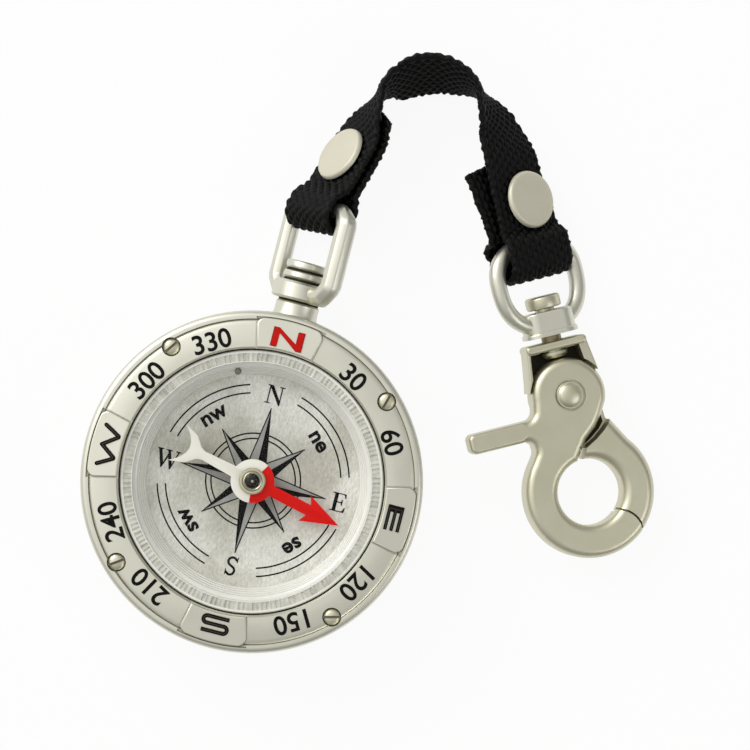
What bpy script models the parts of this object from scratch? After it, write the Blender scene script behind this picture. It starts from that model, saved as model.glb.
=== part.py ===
"""Keychain compass: a liquid compass on a swivelling shackle, a webbing strap and a trigger snap hook.

It lies on its back on a table at z = 0. The origin is the centre of the case's back, +Z points out of
the dial and +Y points along the neck. Sizes are in millimetres and turned to metres at the end.
"""

import math

import bmesh
import bpy
from mathutils import Matrix, Vector

MM = 0.001
GAP = 0.3  # running and seating clearance between neighbouring pieces
ROUND = 54  # steps round the large turned pieces
FINE = 20  # steps round pins, posts and rivets

OVERRUN = 2.0  # how far a cutter runs past what it cuts

# Case, back cover and bezel
CASE_RADIUS = 22.5
SHOULDER_Z = 10.0
LIP_H = 2.0
CASE_BACK_ROUND = 1.8
LIP_WALL = 1.1
LIP_ROUND = 0.75
COVER_INSET = 4.0  # from the case's side to the back cover's edge
COVER_T = 1.2
COVER_EDGE = 0.3
LEDGE_W = 1.55  # what the capsule rests on
LEDGE_T = 2.2
BEZEL_BAND = 3.6
BEZEL_T = 1.7
BEZEL_EDGE = 0.25
CROWN_BAND = 2.8  # the outer part of the bezel's face, which falls away
CROWN_DROP = 0.3
PAD_RISE = 0.4
PAD_HALF_ANGLE = math.radians(12.2)
PAD_CORNER = 0.9
PAD_INSET = 0.12
PAD_ROUND = 0.22
PAD_ROOT = 0.6  # how far up the bezel ring a pad starts
NORTH = math.pi / 2
SCREW_INSET = 1.9  # from the case's side to the screws' centres
SCREW_HEAD_R = 1.05
SCREW_HEAD_H = 0.75
SCREW_SHANK_R = 0.6
SCREW_SHANK_L = 3.4
SCREW_SLOT = 0.32
SCREW_DOME = 0.3
RECESS_R = 1.35
RECESS_DEPTH = 1.1

# Capsule, dial and needle
FLANGE_LAP = 0.35  # the capsule's flange reaches this far under the bezel
RIM_GAP = 0.35  # between the capsule's rim and the bezel's window
CAPSULE_FLOOR_T = 1.2
CAPSULE_RIM_W = 1.45
CAPSULE_SEAT_STEP = 0.7
CAPSULE_WALL = 1.1
CAPSULE_EDGE = 0.25
CAPSULE_TOP_DROP = 0.7
GASKET_T = 0.5
GASKET_W = 0.55
GASKET_SHOW = 0.15  # the part of the seal that shows inside the window
GASKET_SPACE = 0.2
LENS_T = 0.9
LENS_EDGE = 0.3
LENS_CROWN = 0.15
DIAL_T = 0.4
DIAL_HOLE_R = 1.2
PIN_BASE_R = 0.9
PIN_BASE_H = 1.0
PIN_TIP_R = 0.1
PIN_H = 2.7
PIN_LAP = 0.2  # how far the pin's point stands above the needle's underside
NEEDLE_T = 0.3
NEEDLE_TIP_INSET = 1.5  # from the dial's edge to the needle's tip
NEEDLE_RING_R = 2.9
NEEDLE_HOLE_R = 1.2
NEEDLE_SHAFT = 0.75
BARB_AT = 7.8
BARB_HALF = 1.68
NOTCH = 0.55
CRESCENT_TIP_INSET = 2.7  # from the dial's edge to the tail's two tips
CRESCENT_DEPTH = 2.2
CRESCENT_TIP_HALF = 2.7
CRESCENT_T = 1.2
HUB_R = 1.7
HUB_STEM_R = 0.9
HUB_FLANGE_T = 0.35
HUB_POCKET_R = 0.6
HUB_RISE = 0.2  # from the needle's top to the hub's flange
HUB_DROP = 0.4  # from the needle's underside to the hub's foot
NEEDLE_HEADING = math.radians(-13.2)

# Neck, its swivel pin and the shackle
NECK_Z = 6.6
NECK_R = 2.9
NECK_L = 1.75
PIN_R = 1.2
PIN_DEPTH = 2.2  # how deep the pin sits in the case
COLLAR_R = 3.8
COLLAR_H = 2.45
WASHER_R = 2.9
WASHER_T = 1.05
PIN_HEAD_R = 2.8
PIN_HEAD_T = 1.1
SHACKLE_ROLL = math.radians(-54.5)
SHACKLE_INNER_W = 10.4
SHACKLE_ARM_W = 2.3
SHACKLE_ARM_T = 2.5
SHACKLE_ARM_ROUND = 0.7
SHACKLE_BAR_SHARE = 0.84  # the strap bar is slimmer than the arms by this share
SHACKLE_L = 12.75  # from the collar's foot to the middle of the strap bar
SHACKLE_CHAMFER = 1.5

# Webbing strap and its two rivets
STRAP_W = 9.8
STRAP_T = 1.15
STRAP_EDGE = 0.3
LAYER_HALF = 0.73  # from the middle of a riveted pair of layers to the middle of one layer
LEFT_LOOP_HALF = 2.0  # the same where the pair opens round a bar
RIGHT_LOOP_HALF = 2.2
STRAP_SWING = math.radians(-19.0)
LEFT_FOLD_AT = -0.8
RIGHT_FOLD_AT = -2.1
LEFT_RIVET_AT = 7.4
RIGHT_RIVET_AT = 5.6
RIGHT_RIVET_SHIFT = -0.45
LEFT_TAIL_AT = 14.6
RIGHT_TAIL_AT = 11.4
RIGHT_TAIL_SHIFT = 2.4
TAIL_FLARE = 0.8
TAIL_HOLD = 0.7  # how far past the rivet's rim the cut end lies flat
LEFT_OPEN_AT = 0.6  # where the loop round a bar starts to close, and where it has closed
LEFT_SHUT_AT = 3.4
RIGHT_OPEN_AT = 0.2
RIGHT_SHUT_AT = 2.2
TABLE_GAP = 0.12
# Stations over the arch: aside of and past the shackle's bar, the lean of the tape's upper edge, and half
# the gap between the layers
ARCH = [(3.55, 13.9, (0.27, 0.0, 0.963), LAYER_HALF), (4.2, 16.6, (0.0, 0.08, 0.997), 0.45),
        (5.0, 18.1, (-0.13, 0.20, 0.971), 0.15), (6.1, 19.1, (-0.17, 0.34, 0.925), 0.0),
        (8.2, 20.5, (-0.17, 0.42, 0.891), 0.0), (11.0, 21.3, (-0.06, 0.40, 0.915), 0.0),
        (13.7, 21.1, (0.04, 0.27, 0.962), 0.0), (15.6, 20.5, (0.03, 0.08, 0.996), 0.0),
        (17.1, 19.4, (-0.12, -0.08, 0.989), 0.1), (18.4, 17.9, (-0.29, -0.2, 0.936), 0.35),
        (19.8, 15.8, (-0.46, -0.28, 0.842), 0.6)]
# Stations beside the rivets: how far along the end's own line, how far off it, the lean of the upper edge
LEFT_LEAD = (11.2, (0.0, 0.0, 0.45), (0.53, -0.01, 0.848))
RIGHT_LEADS = [(11.9, (-0.25, -0.12, -0.05), (-0.6, -0.34, 0.724)),
               (8.2, (-0.25, -0.12, -0.05), (-0.639, -0.36, 0.68)),
               (RIGHT_RIVET_AT, (-0.075, -0.036, -0.015), (-0.664, -0.373, 0.648)),
               (RIGHT_SHUT_AT, (0.0, 0.0, 0.0), (-0.69, -0.385, 0.613))]
RIVET_CAP_R = 3.85
RIVET_BACK_R = 3.5
RIVET_CAP_H = 0.95
RIVET_CAP_RIM = 0.25
RIVET_POST_R = 1.1
RIVET_POST_PAST = 0.35  # how far the post runs past the strap
RIVET_SOCKET = 0.6

# Snap hook: its swivel line on the table, then sizes across (c) and along (v) that line
HOOK_ASIDE = 31.46  # of the shackle's bar
HOOK_BELOW = 4.81
HOOK_LIFT = 4.7
HOOK_YAW = math.radians(27.83)
HOOK_SLOPE = math.radians(2.2)
EYE_ROLL = math.radians(33.0)
HOOK_ROLL = math.radians(10.0)
EYE_WIRE_R = 1.1
EYE_HALF_W = 6.4
EYE_WIDEST_V = 3.2
EYE_BAR_V = 8.0
EYE_FOOT_V = -3.1
EYE_SHAPE = 2.5
EYE_STEPS = 40
STRAP_STEPS = 4  # between two stations
BOSS_R = 2.75
BOSS_TOP_V = -1.15
BOSS_END_V = -4.5
BOSS_FLANGE_R = 3.7
BOSS_FLANGE_T = 0.6
POST_R = 1.3
POST_HEAD_R = 2.35
POST_HEAD_HALF = 0.85
POST_TAIL_R = 1.75
POST_TAIL_T = 0.8
HOOK_HALF_T = 2.2
PLATE_TOP_V = -5.3
PLATE_T = 1.15
PLATE_HALF_W = 4.2
CHEEK_T = 1.3
PIVOT = (0.2, -12.8)
HEAD_R = 5.0
CHEEK_R = 4.9
JAW_CENTRE = (0.0, -26.0)
JAW_HOLE_R = 4.45
JAW_R = 8.8
EDGE_ROUND = 0.9
SPLIT_ANGLE = math.radians(-46.5)
SPLIT_GAP = 0.35
LEVER_TIP_C = -14.5
LEVER_TOP_V = -14.75
LEVER_W = 2.7
RIVET_R = 1.0
RIVET_FLANGE_R = 1.85
RIVET_DOME_R = 1.55
RIVET_TAIL_R = 1.9
RIVET_TAIL_T = 0.6
RIVET_TAIL_GAP = 0.25
RIVET_RECESS = 0.35
RIVET_RAISE = 0.2  # from the floor of the recess to the rivet's flange
RIVET_FLANGE_T = 0.3
RIVET_DOME_H = 0.5
SPRING_R = 1.9
SPRING_WIRE = 0.4
SPRING_TURNS = 1.6
SPRING_PITCH = 0.84
SPRING_POCKET_R = 3.0
SPRING_POCKET_DEPTH = 2.0

# Heights and radii that follow from the sizes above
CASE_LIP_TOP = SHOULDER_Z + LIP_H
COVER_R = CASE_RADIUS - COVER_INSET
SCREW_RING_R = CASE_RADIUS - SCREW_INSET
BEZEL_R = CASE_RADIUS - LIP_WALL - GAP
BEZEL_WINDOW_R = BEZEL_R - BEZEL_BAND
CAPSULE_R = BEZEL_WINDOW_R + FLANGE_LAP
CAPSULE_BORE_R = CAPSULE_R + GAP
CAPSULE_RING_R = BEZEL_WINDOW_R - RIM_GAP
CAPSULE_SEAT_R = CAPSULE_RING_R - CAPSULE_RIM_W
CAPSULE_INNER_R = CAPSULE_SEAT_R - CAPSULE_WALL
LEDGE_INNER_R = CAPSULE_BORE_R - LEDGE_W
DIAL_R = CAPSULE_INNER_R - GAP
NEEDLE_LENGTH = DIAL_R - NEEDLE_TIP_INSET
CRESCENT_TIP_R = DIAL_R - CRESCENT_TIP_INSET
CRESCENT_AT = CRESCENT_TIP_R - CRESCENT_DEPTH
LEDGE_Z = COVER_T + GAP + LEDGE_T
CAPSULE_Z = LEDGE_Z + GAP
CAPSULE_FLOOR_Z = CAPSULE_Z + CAPSULE_FLOOR_T
BEZEL_Z = SHOULDER_Z + GAP
BEZEL_TOP = BEZEL_Z + BEZEL_T
CAPSULE_TOP = BEZEL_TOP - CAPSULE_TOP_DROP
GASKET_TOP = BEZEL_Z - GAP
FLANGE_TOP = GASKET_TOP - GASKET_T - GASKET_SPACE
DIAL_Z = CAPSULE_FLOOR_Z + GAP
PIN_TIP_Z = CAPSULE_FLOOR_Z + GAP + PIN_H
NEEDLE_Z = PIN_TIP_Z - PIN_LAP
NECK_END_Y = CASE_RADIUS + NECK_L
PIN_INNER_Y = CASE_RADIUS - PIN_DEPTH
COLLAR_Y = NECK_END_Y + GAP
SHACKLE_BAR_Y = COLLAR_Y + SHACKLE_L
HOOK_ORIGIN = Vector((HOOK_ASIDE, SHACKLE_BAR_Y - HOOK_BELOW, HOOK_LIFT))
WASHER_Y = COLLAR_Y + COLLAR_H + GAP
PIN_HEAD_Y = WASHER_Y + WASHER_T + GAP
SHACKLE_ARM_X = (SHACKLE_INNER_W + SHACKLE_ARM_W) / 2


def hex_colour(code):
    """sRGB hex to the linear colour that a shader socket takes."""
    parts = [int(code[i:i + 2], 16) / 255 for i in (0, 2, 4)]
    return [p / 12.92 if p <= 0.04045 else ((p + 0.055) / 1.055) ** 2.4 for p in parts] + [1.0]


def material(name, code, metallic, roughness, alpha=1.0):
    made = bpy.data.materials.new(name)
    made.use_nodes = True
    shader = made.node_tree.nodes["Principled BSDF"]
    shader.inputs["Base Color"].default_value = hex_colour(code)
    shader.inputs["Metallic"].default_value = metallic
    shader.inputs["Roughness"].default_value = roughness
    shader.inputs["Alpha"].default_value = alpha
    return made


def empty(name, matrix, parent=None):
    made = bpy.data.objects.new(name, None)
    bpy.context.collection.objects.link(made)
    made.parent = parent
    made.matrix_local = metres(matrix)
    return made


def metres(matrix):
    """A placement in millimetres as one in metres."""
    made = matrix.copy()
    made.translation = matrix.translation * MM
    return made


def finish(name, bm, look, parent=None, place=None):
    """Turn a bmesh in millimetres into a named object in metres, round faces shaded smooth."""
    bmesh.ops.remove_doubles(bm, verts=bm.verts, dist=1e-5)
    bmesh.ops.recalc_face_normals(bm, faces=bm.faces)
    bmesh.ops.scale(bm, vec=(MM, MM, MM), verts=bm.verts)
    mesh = bpy.data.meshes.new(name)
    bm.to_mesh(mesh)
    bm.free()
    mesh.shade_smooth()
    mesh.set_sharp_from_angle(angle=math.radians(35))
    made = bpy.data.objects.new(name, mesh)
    bpy.context.collection.objects.link(made)
    if look:
        mesh.materials.append(look)
    made.parent = parent
    if place is not None:
        made.matrix_local = metres(place)
    return made


def cutter(name, bm, parent=None, place=None):
    made = finish(name, bm, None, parent, place)
    made.hide_render = True
    made.display_type = "WIRE"
    return made


def combine(made, tools, operation, solver="EXACT"):
    """Join or cut with other solids. MANIFOLD is for pieces whose crossing surfaces EXACT leaves open."""
    for tool in tools:
        step = made.modifiers.new(operation.title() + " " + tool.name, "BOOLEAN")
        step.operation = operation
        step.solver = solver
        step.object = tool


def turned(profile, steps=ROUND, along_y=False):
    """Revolve (radius, height) points round Z, or round Y. A profile clear of the axis is closed."""
    bm = bmesh.new()
    points = [bm.verts.new((r, 0.0, h)) for r, h in profile]
    edges = [bm.edges.new(pair) for pair in zip(points, points[1:])]
    if profile[0][0] > 0 or profile[-1][0] > 0:
        edges.append(bm.edges.new((points[-1], points[0])))
    bmesh.ops.spin(bm, geom=points + edges, cent=(0, 0, 0), axis=(0, 0, 1), dvec=(0, 0, 0),
                   angle=2 * math.pi, steps=steps, use_merge=True)
    bmesh.ops.remove_doubles(bm, verts=bm.verts, dist=1e-5)
    if along_y:
        bmesh.ops.rotate(bm, cent=(0, 0, 0), matrix=Matrix.Rotation(-math.pi / 2, 3, "X"), verts=bm.verts)
    return bm


def arc(centre, radius, start, end, steps):
    """Points on an arc from one angle to another, both ends included."""
    turn = [start + (end - start) * i / steps for i in range(steps + 1)]
    return [(centre[0] + radius * math.cos(a), centre[1] + radius * math.sin(a)) for a in turn]


def plate(outline, low, high, rounding=0.0):
    """An outline in XY made solid between two heights, with its rims rounded."""
    bm = bmesh.new()
    face = bm.faces.new([bm.verts.new((x, y, low)) for x, y in outline])
    grown = bmesh.ops.extrude_face_region(bm, geom=[face])["geom"]
    top = [g for g in grown if isinstance(g, bmesh.types.BMVert)]
    bmesh.ops.translate(bm, vec=(0, 0, high - low), verts=top)
    bmesh.ops.recalc_face_normals(bm, faces=bm.faces)
    if rounding:
        rims = [e for e in bm.edges if abs(e.verts[0].co.z - e.verts[1].co.z) < 1e-6]
        bmesh.ops.bevel(bm, geom=rims, offset=rounding, segments=2, profile=0.5, affect="EDGES",
                        clamp_overlap=True)
    return bm


def round_bar(radius, low, high, steps=FINE, along_y=False):
    return turned([(0, low), (radius, low), (radius, high), (0, high)], steps, along_y)


def swept(section, frames, closed):
    """Carry a section outline through placement matrices, then cap the ends or close the ring."""
    bm = bmesh.new()
    ring = [bm.verts.new(frames[0] @ Vector((x, y, 0))) for x, y in section]
    edges = [bm.edges.new((ring[i], ring[(i + 1) % len(ring)])) for i in range(len(ring))]
    first = list(edges)
    for before, after in zip(frames, frames[1:]):
        grown = bmesh.ops.extrude_edge_only(bm, edges=edges)["geom"]
        verts = [g for g in grown if isinstance(g, bmesh.types.BMVert)]
        edges = [g for g in grown if isinstance(g, bmesh.types.BMEdge)]
        edges = [e for e in edges if e.verts[0] in verts and e.verts[1] in verts]
        bmesh.ops.transform(bm, matrix=after @ before.inverted(), verts=verts)
    if closed:
        bmesh.ops.remove_doubles(bm, verts=bm.verts, dist=1e-4)
    else:
        bmesh.ops.contextual_create(bm, geom=first)
        bmesh.ops.contextual_create(bm, geom=edges)
    return bm


def placed(x_axis, y_axis, z_axis, origin):
    made = Matrix((x_axis, y_axis, z_axis)).transposed().to_4x4()
    made.translation = origin
    return made


def circle(radius, steps):
    return [(radius * math.cos(2 * math.pi * i / steps), radius * math.sin(2 * math.pi * i / steps))
            for i in range(steps)]


def rounded_box(width, height, radius, steps):
    """Outline of a rectangle with rounded corners, centred on the origin."""
    outline = []
    for k, (side, rise) in enumerate(((1, 1), (-1, 1), (-1, -1), (1, -1))):
        centre = (side * (width / 2 - radius), rise * (height / 2 - radius))
        outline += arc(centre, radius, k * math.pi / 2, (k + 1) * math.pi / 2, steps)
    return outline


def ring_frames(points, normal, sizes=None):
    """Placements along a closed flat path, mitred where it bends. The section's x runs across the path."""
    frames = []
    count = len(points)
    sizes = sizes or [1.0] * count
    for i in range(count):
        before = (points[i] - points[i - 1]).normalized()
        after = (points[(i + 1) % count] - points[i]).normalized()
        along = (before + after).normalized()
        across = along.cross(normal).normalized()
        stretch = 1 / max(0.3, along.dot(before))
        frames.append(placed(across * stretch * sizes[i], normal * sizes[i], along, points[i]))
    return frames + [frames[0]]


for old in list(bpy.data.objects):
    bpy.data.objects.remove(old, do_unlink=True)

SATIN = material("satin nickel", "C2BEAC", 1.0, 0.36)
STEEL = material("bright steel", "CFCBBE", 1.0, 0.3)
CLEAR = material("clear acrylic", "E8EAE4", 0.0, 0.08, 0.35)
DIAL = material("silvered dial", "D6D6D0", 0.3, 0.5)
RED = material("red lacquer", "E3231C", 0.0, 0.35)
BRASS = material("brass", "C9A55A", 1.0, 0.35)
RUBBER = material("black rubber", "1C1C1A", 0.0, 0.7)
WEBBING = material("black webbing", "161616", 0.0, 0.85)


def case_body():
    back = CASE_BACK_ROUND
    lip_in = CASE_RADIUS - LIP_WALL
    profile = [(COVER_R + GAP, 0.0)]
    profile += arc((CASE_RADIUS - back, back), back, -math.pi / 2, 0, 4)
    profile += arc((CASE_RADIUS - LIP_ROUND, CASE_LIP_TOP - LIP_ROUND), LIP_ROUND, 0, math.pi / 2, 3)
    profile += [(lip_in, CASE_LIP_TOP - 0.1), (lip_in, SHOULDER_Z), (CAPSULE_BORE_R, SHOULDER_Z),
                (CAPSULE_BORE_R, LEDGE_Z), (LEDGE_INNER_R, LEDGE_Z), (LEDGE_INNER_R, COVER_T + GAP),
                (COVER_R + GAP, COVER_T + GAP)]
    made = finish("case_body", turned(profile), SATIN)
    neck_start = Matrix.Translation((0, 0, NECK_Z))
    neck = cutter("guide_neck", round_bar(NECK_R, PIN_INNER_Y + GAP, NECK_END_Y, 40, True), None, neck_start)
    combine(made, [neck], "UNION", "MANIFOLD")
    bore = round_bar(PIN_R + GAP, PIN_INNER_Y - GAP, NECK_END_Y + OVERRUN, FINE, True)
    cuts = [cutter("cut_neck_bore", bore, None, neck_start)]
    cuts += screw_cuts("case")
    combine(made, cuts, "DIFFERENCE", "MANIFOLD")


def screw_places():
    return [(i, math.pi / 4 + i * math.pi / 2) for i in range(4)]


def screw_cuts(owner):
    cuts = []
    seat = BEZEL_TOP - RECESS_DEPTH
    end = seat - SCREW_SHANK_L - 2 * GAP
    profile = [(0, end), (SCREW_SHANK_R + GAP, end), (SCREW_SHANK_R + GAP, seat), (RECESS_R, seat),
               (RECESS_R, BEZEL_TOP + OVERRUN), (0, BEZEL_TOP + OVERRUN)]
    for i, angle in screw_places():
        spot = Matrix.Rotation(angle, 4, "Z") @ Matrix.Translation((SCREW_RING_R, 0, 0))
        cuts.append(cutter(f"cut_{owner}_screw_{i}", turned(profile, 24), None, spot))
    return cuts


def back_cover():
    e = COVER_EDGE
    profile = [(0, 0), (COVER_R - e, 0), (COVER_R, e), (COVER_R, COVER_T), (0, COVER_T)]
    finish("back_cover", turned(profile), SATIN)


def crown(radius):
    """How far the bezel's face has fallen away at a radius."""
    share = max(0.0, (radius - BEZEL_R + CROWN_BAND) / CROWN_BAND)
    return CROWN_DROP * share ** 1.6


def bezel_ring():
    e = BEZEL_EDGE
    profile = [(BEZEL_WINDOW_R, BEZEL_Z), (BEZEL_R, BEZEL_Z), (BEZEL_R, BEZEL_TOP - CROWN_DROP - e)]
    for k in range(4):
        radius = BEZEL_R - e - (CROWN_BAND - e) * k / 3
        profile.append((radius, BEZEL_TOP - crown(radius)))
    profile += [(BEZEL_WINDOW_R + e, BEZEL_TOP), (BEZEL_WINDOW_R, BEZEL_TOP - e)]
    made = finish("bezel_ring", turned(profile), SATIN)
    pads = []
    for i in range(4):
        place = Matrix.Rotation(NORTH + i * math.pi / 2, 4, "Z")
        pads.append(cutter(f"guide_pad_{i}", bezel_pad(), None, place))
    combine(made, pads, "UNION")
    combine(made, screw_cuts("bezel"), "DIFFERENCE")


def bezel_pad():
    """One raised pad round +X: square to the window, its outer corners rounded, crowned as the ring is."""
    half = PAD_HALF_ANGLE
    inner = BEZEL_WINDOW_R + PAD_INSET
    outer = BEZEL_R - PAD_INSET
    turn = PAD_CORNER / outer
    bend = outer - PAD_CORNER
    corner_high = (bend * math.cos(half - turn), bend * math.sin(half - turn))
    corner_low = (corner_high[0], -corner_high[1])
    outline = arc((0, 0), inner, half, -half, 10)
    outline += arc(corner_low, PAD_CORNER, -math.pi / 2 - half * 0.6, -half, 4)
    outline += arc((0, 0), outer, -half + turn, half - turn, 8)[1:-1]
    outline += arc(corner_high, PAD_CORNER, half, math.pi / 2 + half * 0.6, 4)
    pad = plate(outline, BEZEL_Z + PAD_ROOT, BEZEL_TOP + PAD_RISE, PAD_ROUND)
    for vert in pad.verts:
        if vert.co.z > BEZEL_Z + PAD_ROOT + PAD_ROUND:
            vert.co.z -= crown(math.hypot(vert.co.x, vert.co.y))
    return pad


def bezel_screws():
    head = BEZEL_TOP - RECESS_DEPTH + GAP / 2
    for i, angle in screw_places():
        profile = [(0, head - SCREW_SHANK_L), (SCREW_SHANK_R, head - SCREW_SHANK_L), (SCREW_SHANK_R, head),
                   (SCREW_HEAD_R, head), (SCREW_HEAD_R, head + SCREW_HEAD_H - SCREW_DOME),
                   (SCREW_HEAD_R * 0.72, head + SCREW_HEAD_H - 0.08), (0, head + SCREW_HEAD_H)]
        spot = Matrix.Rotation(angle, 4, "Z") @ Matrix.Translation((SCREW_RING_R, 0, 0))
        made = finish(f"bezel_screw_{i + 1}", turned(profile, 20), STEEL, None, spot)
        groove = bmesh.new()
        size = Matrix.Diagonal((3 * SCREW_HEAD_R, SCREW_SLOT, 1.0, 1.0))
        turn = Matrix.Rotation(math.radians(30 + 70 * i), 4, "Z")
        bmesh.ops.create_cube(groove, size=1.0, matrix=turn @ size)
        slot_z = Matrix.Translation((0, 0, head + SCREW_HEAD_H + 0.15))
        combine(made, [cutter(f"cut_slot_{i}", groove, None, spot @ slot_z)], "DIFFERENCE")


def capsule():
    step = CAPSULE_TOP - LENS_T - GAP
    ring_e = CAPSULE_EDGE
    bowl = [(0, CAPSULE_Z), (CAPSULE_R, CAPSULE_Z), (CAPSULE_R, FLANGE_TOP), (CAPSULE_RING_R, FLANGE_TOP),
            (CAPSULE_RING_R, CAPSULE_TOP - ring_e), (CAPSULE_RING_R - ring_e, CAPSULE_TOP),
            (CAPSULE_SEAT_R + 0.1, CAPSULE_TOP), (CAPSULE_SEAT_R, step),
            (CAPSULE_SEAT_R - CAPSULE_SEAT_STEP, step),
            (CAPSULE_INNER_R, CAPSULE_FLOOR_Z + 0.3), (CAPSULE_INNER_R - 0.3, CAPSULE_FLOOR_Z),
            (0, CAPSULE_FLOOR_Z)]
    finish("capsule_bowl", turned(bowl), CLEAR)
    lens_r = CAPSULE_SEAT_R - GAP
    top = CAPSULE_TOP
    lens = [(0, top - LENS_T), (lens_r, top - LENS_T), (lens_r, top - LENS_EDGE), (lens_r - LENS_EDGE, top),
            (0, top + LENS_CROWN)]
    finish("capsule_lens", turned(lens), CLEAR)
    gasket_in = BEZEL_WINDOW_R - GASKET_SHOW
    ring = [(gasket_in, GASKET_TOP - GASKET_T), (gasket_in + GASKET_W, GASKET_TOP - GASKET_T),
            (gasket_in + GASKET_W, GASKET_TOP), (gasket_in, GASKET_TOP)]
    finish("lens_gasket", turned(ring), RUBBER)


def dial_plate():
    top = DIAL_Z + DIAL_T
    profile = [(DIAL_HOLE_R, DIAL_Z), (DIAL_R, DIAL_Z), (DIAL_R, top), (DIAL_HOLE_R, top)]
    finish("dial_plate", turned(profile), DIAL)


def pivot_pin():
    base = CAPSULE_FLOOR_Z + GAP
    profile = [(0, base), (PIN_BASE_R, base), (PIN_BASE_R, base + PIN_BASE_H),
               (PIN_BASE_R * 0.4, base + PIN_BASE_H * 1.5), (PIN_TIP_R, PIN_TIP_Z - PIN_TIP_R),
               (0, PIN_TIP_Z)]
    finish("pivot_pin", turned(profile, 20), BRASS)


def needle_outline():
    """Half of the needle, from the tip to the tail along +X, then mirrored."""
    ring_end = math.asin(NEEDLE_SHAFT / NEEDLE_RING_R)
    upper = [(NEEDLE_LENGTH, 0.0), (BARB_AT, BARB_HALF), (BARB_AT + NOTCH, NEEDLE_SHAFT)]
    upper += arc((0, 0), NEEDLE_RING_R, ring_end, math.pi - ring_end, 18)
    neck = CRESCENT_AT - CRESCENT_T
    tip = (-CRESCENT_TIP_R * math.cos(math.asin(CRESCENT_TIP_HALF / CRESCENT_TIP_R)), CRESCENT_TIP_HALF)
    upper += [(-neck + 0.6, NEEDLE_SHAFT * 0.8), (-neck, NEEDLE_SHAFT + 0.25)]
    upper += [(-neck - 0.75, CRESCENT_TIP_HALF * 0.62), tip]
    upper += [(-CRESCENT_AT - 0.75, CRESCENT_TIP_HALF * 0.6),
              (-CRESCENT_AT - 0.15, CRESCENT_TIP_HALF * 0.27)]
    lower = [(x, -y) for x, y in reversed(upper[1:])]
    return upper + [(-CRESCENT_AT, 0.0)] + lower


def needle():
    pivot = empty("needle_axis", Matrix.Rotation(NEEDLE_HEADING, 4, "Z"))
    made = finish("needle", plate(needle_outline(), NEEDLE_Z, NEEDLE_Z + NEEDLE_T), RED, pivot)
    hole = round_bar(NEEDLE_HOLE_R, NEEDLE_Z - OVERRUN, NEEDLE_Z + OVERRUN)
    combine(made, [cutter("cut_needle_hole", hole, pivot)], "DIFFERENCE")
    flange = NEEDLE_Z + NEEDLE_T + HUB_RISE
    top = flange + HUB_FLANGE_T
    foot = NEEDLE_Z - HUB_DROP
    profile = [(0, PIN_TIP_Z + GAP), (HUB_POCKET_R, foot), (HUB_STEM_R, foot), (HUB_STEM_R, flange),
               (HUB_R, flange), (HUB_R, top - 0.1), (HUB_R - 0.15, top), (0, top)]
    finish("needle_hub", turned(profile, 40), BRASS, pivot)


def neck_pin():
    start = Matrix.Translation((0, 0, NECK_Z))
    e = 0.2
    head = PIN_HEAD_Y
    top = head + PIN_HEAD_T
    profile = [(0, PIN_INNER_Y), (PIN_R, PIN_INNER_Y), (PIN_R, head), (PIN_HEAD_R, head),
               (PIN_HEAD_R, top - e), (PIN_HEAD_R - e, top), (0, top)]
    finish("neck_swivel_pin", turned(profile, FINE, True), STEEL, None, start)
    ring = [(PIN_R + GAP, WASHER_Y), (WASHER_R, WASHER_Y), (WASHER_R, WASHER_Y + WASHER_T - e),
            (WASHER_R - e, WASHER_Y + WASHER_T), (PIN_R + GAP, WASHER_Y + WASHER_T)]
    finish("neck_washer", turned(ring, FINE, True), STEEL, None, start)


def shackle():
    """A closed loop of wire with chamfered corners, grown round a collar that turns on the neck pin."""
    frame = empty("shackle_axis", Matrix.Translation((0, 0, NECK_Z)) @ Matrix.Rotation(SHACKLE_ROLL, 4, "Y"))
    x = SHACKLE_ARM_X
    low = COLLAR_Y + SHACKLE_ARM_W / 2
    top = SHACKLE_BAR_Y
    cut = SHACKLE_CHAMFER
    corners = [(x, low + cut), (x, top - cut), (x - cut, top), (-x + cut, top), (-x, top - cut),
               (-x, low + cut), (-x + cut, low), (x - cut, low)]
    path = [Vector((a, b, 0)) for a, b in corners]
    sizes = [SHACKLE_BAR_SHARE if b > top - 0.1 else 1.0 for a, b in corners]
    section = rounded_box(SHACKLE_ARM_W, SHACKLE_ARM_T, SHACKLE_ARM_ROUND, 3)
    loop = swept(section, ring_frames(path, Vector((0, 0, 1)), sizes), True)
    made = finish("shackle", loop, SATIN, frame)
    e = 0.3
    collar = turned([(0, COLLAR_Y), (COLLAR_R - e, COLLAR_Y), (COLLAR_R, COLLAR_Y + e),
                     (COLLAR_R, COLLAR_Y + COLLAR_H - e), (COLLAR_R - e, COLLAR_Y + COLLAR_H),
                     (0, COLLAR_Y + COLLAR_H)], 40, True)
    combine(made, [cutter("guide_collar", collar, frame)], "UNION", "MANIFOLD")
    bore = round_bar(PIN_R + GAP, COLLAR_Y - OVERRUN, COLLAR_Y + COLLAR_H + OVERRUN, FINE, True)
    pin_room = round_bar(WASHER_R + GAP, COLLAR_Y + COLLAR_H, PIN_HEAD_Y + PIN_HEAD_T + GAP, FINE, True)
    cuts = [cutter("cut_collar_bore", bore, frame), cutter("cut_pin_room", pin_room, frame)]
    combine(made, cuts, "DIFFERENCE", "MANIFOLD")
    return frame


def hook_axes(roll):
    """Placement of the hook's swivel line, rolled about itself: x across, y towards the strap, z up."""
    return (Matrix.Translation(HOOK_ORIGIN) @ Matrix.Rotation(HOOK_YAW, 4, "Z")
            @ Matrix.Rotation(HOOK_SLOPE, 4, "X") @ Matrix.Rotation(roll, 4, "Y"))


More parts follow.
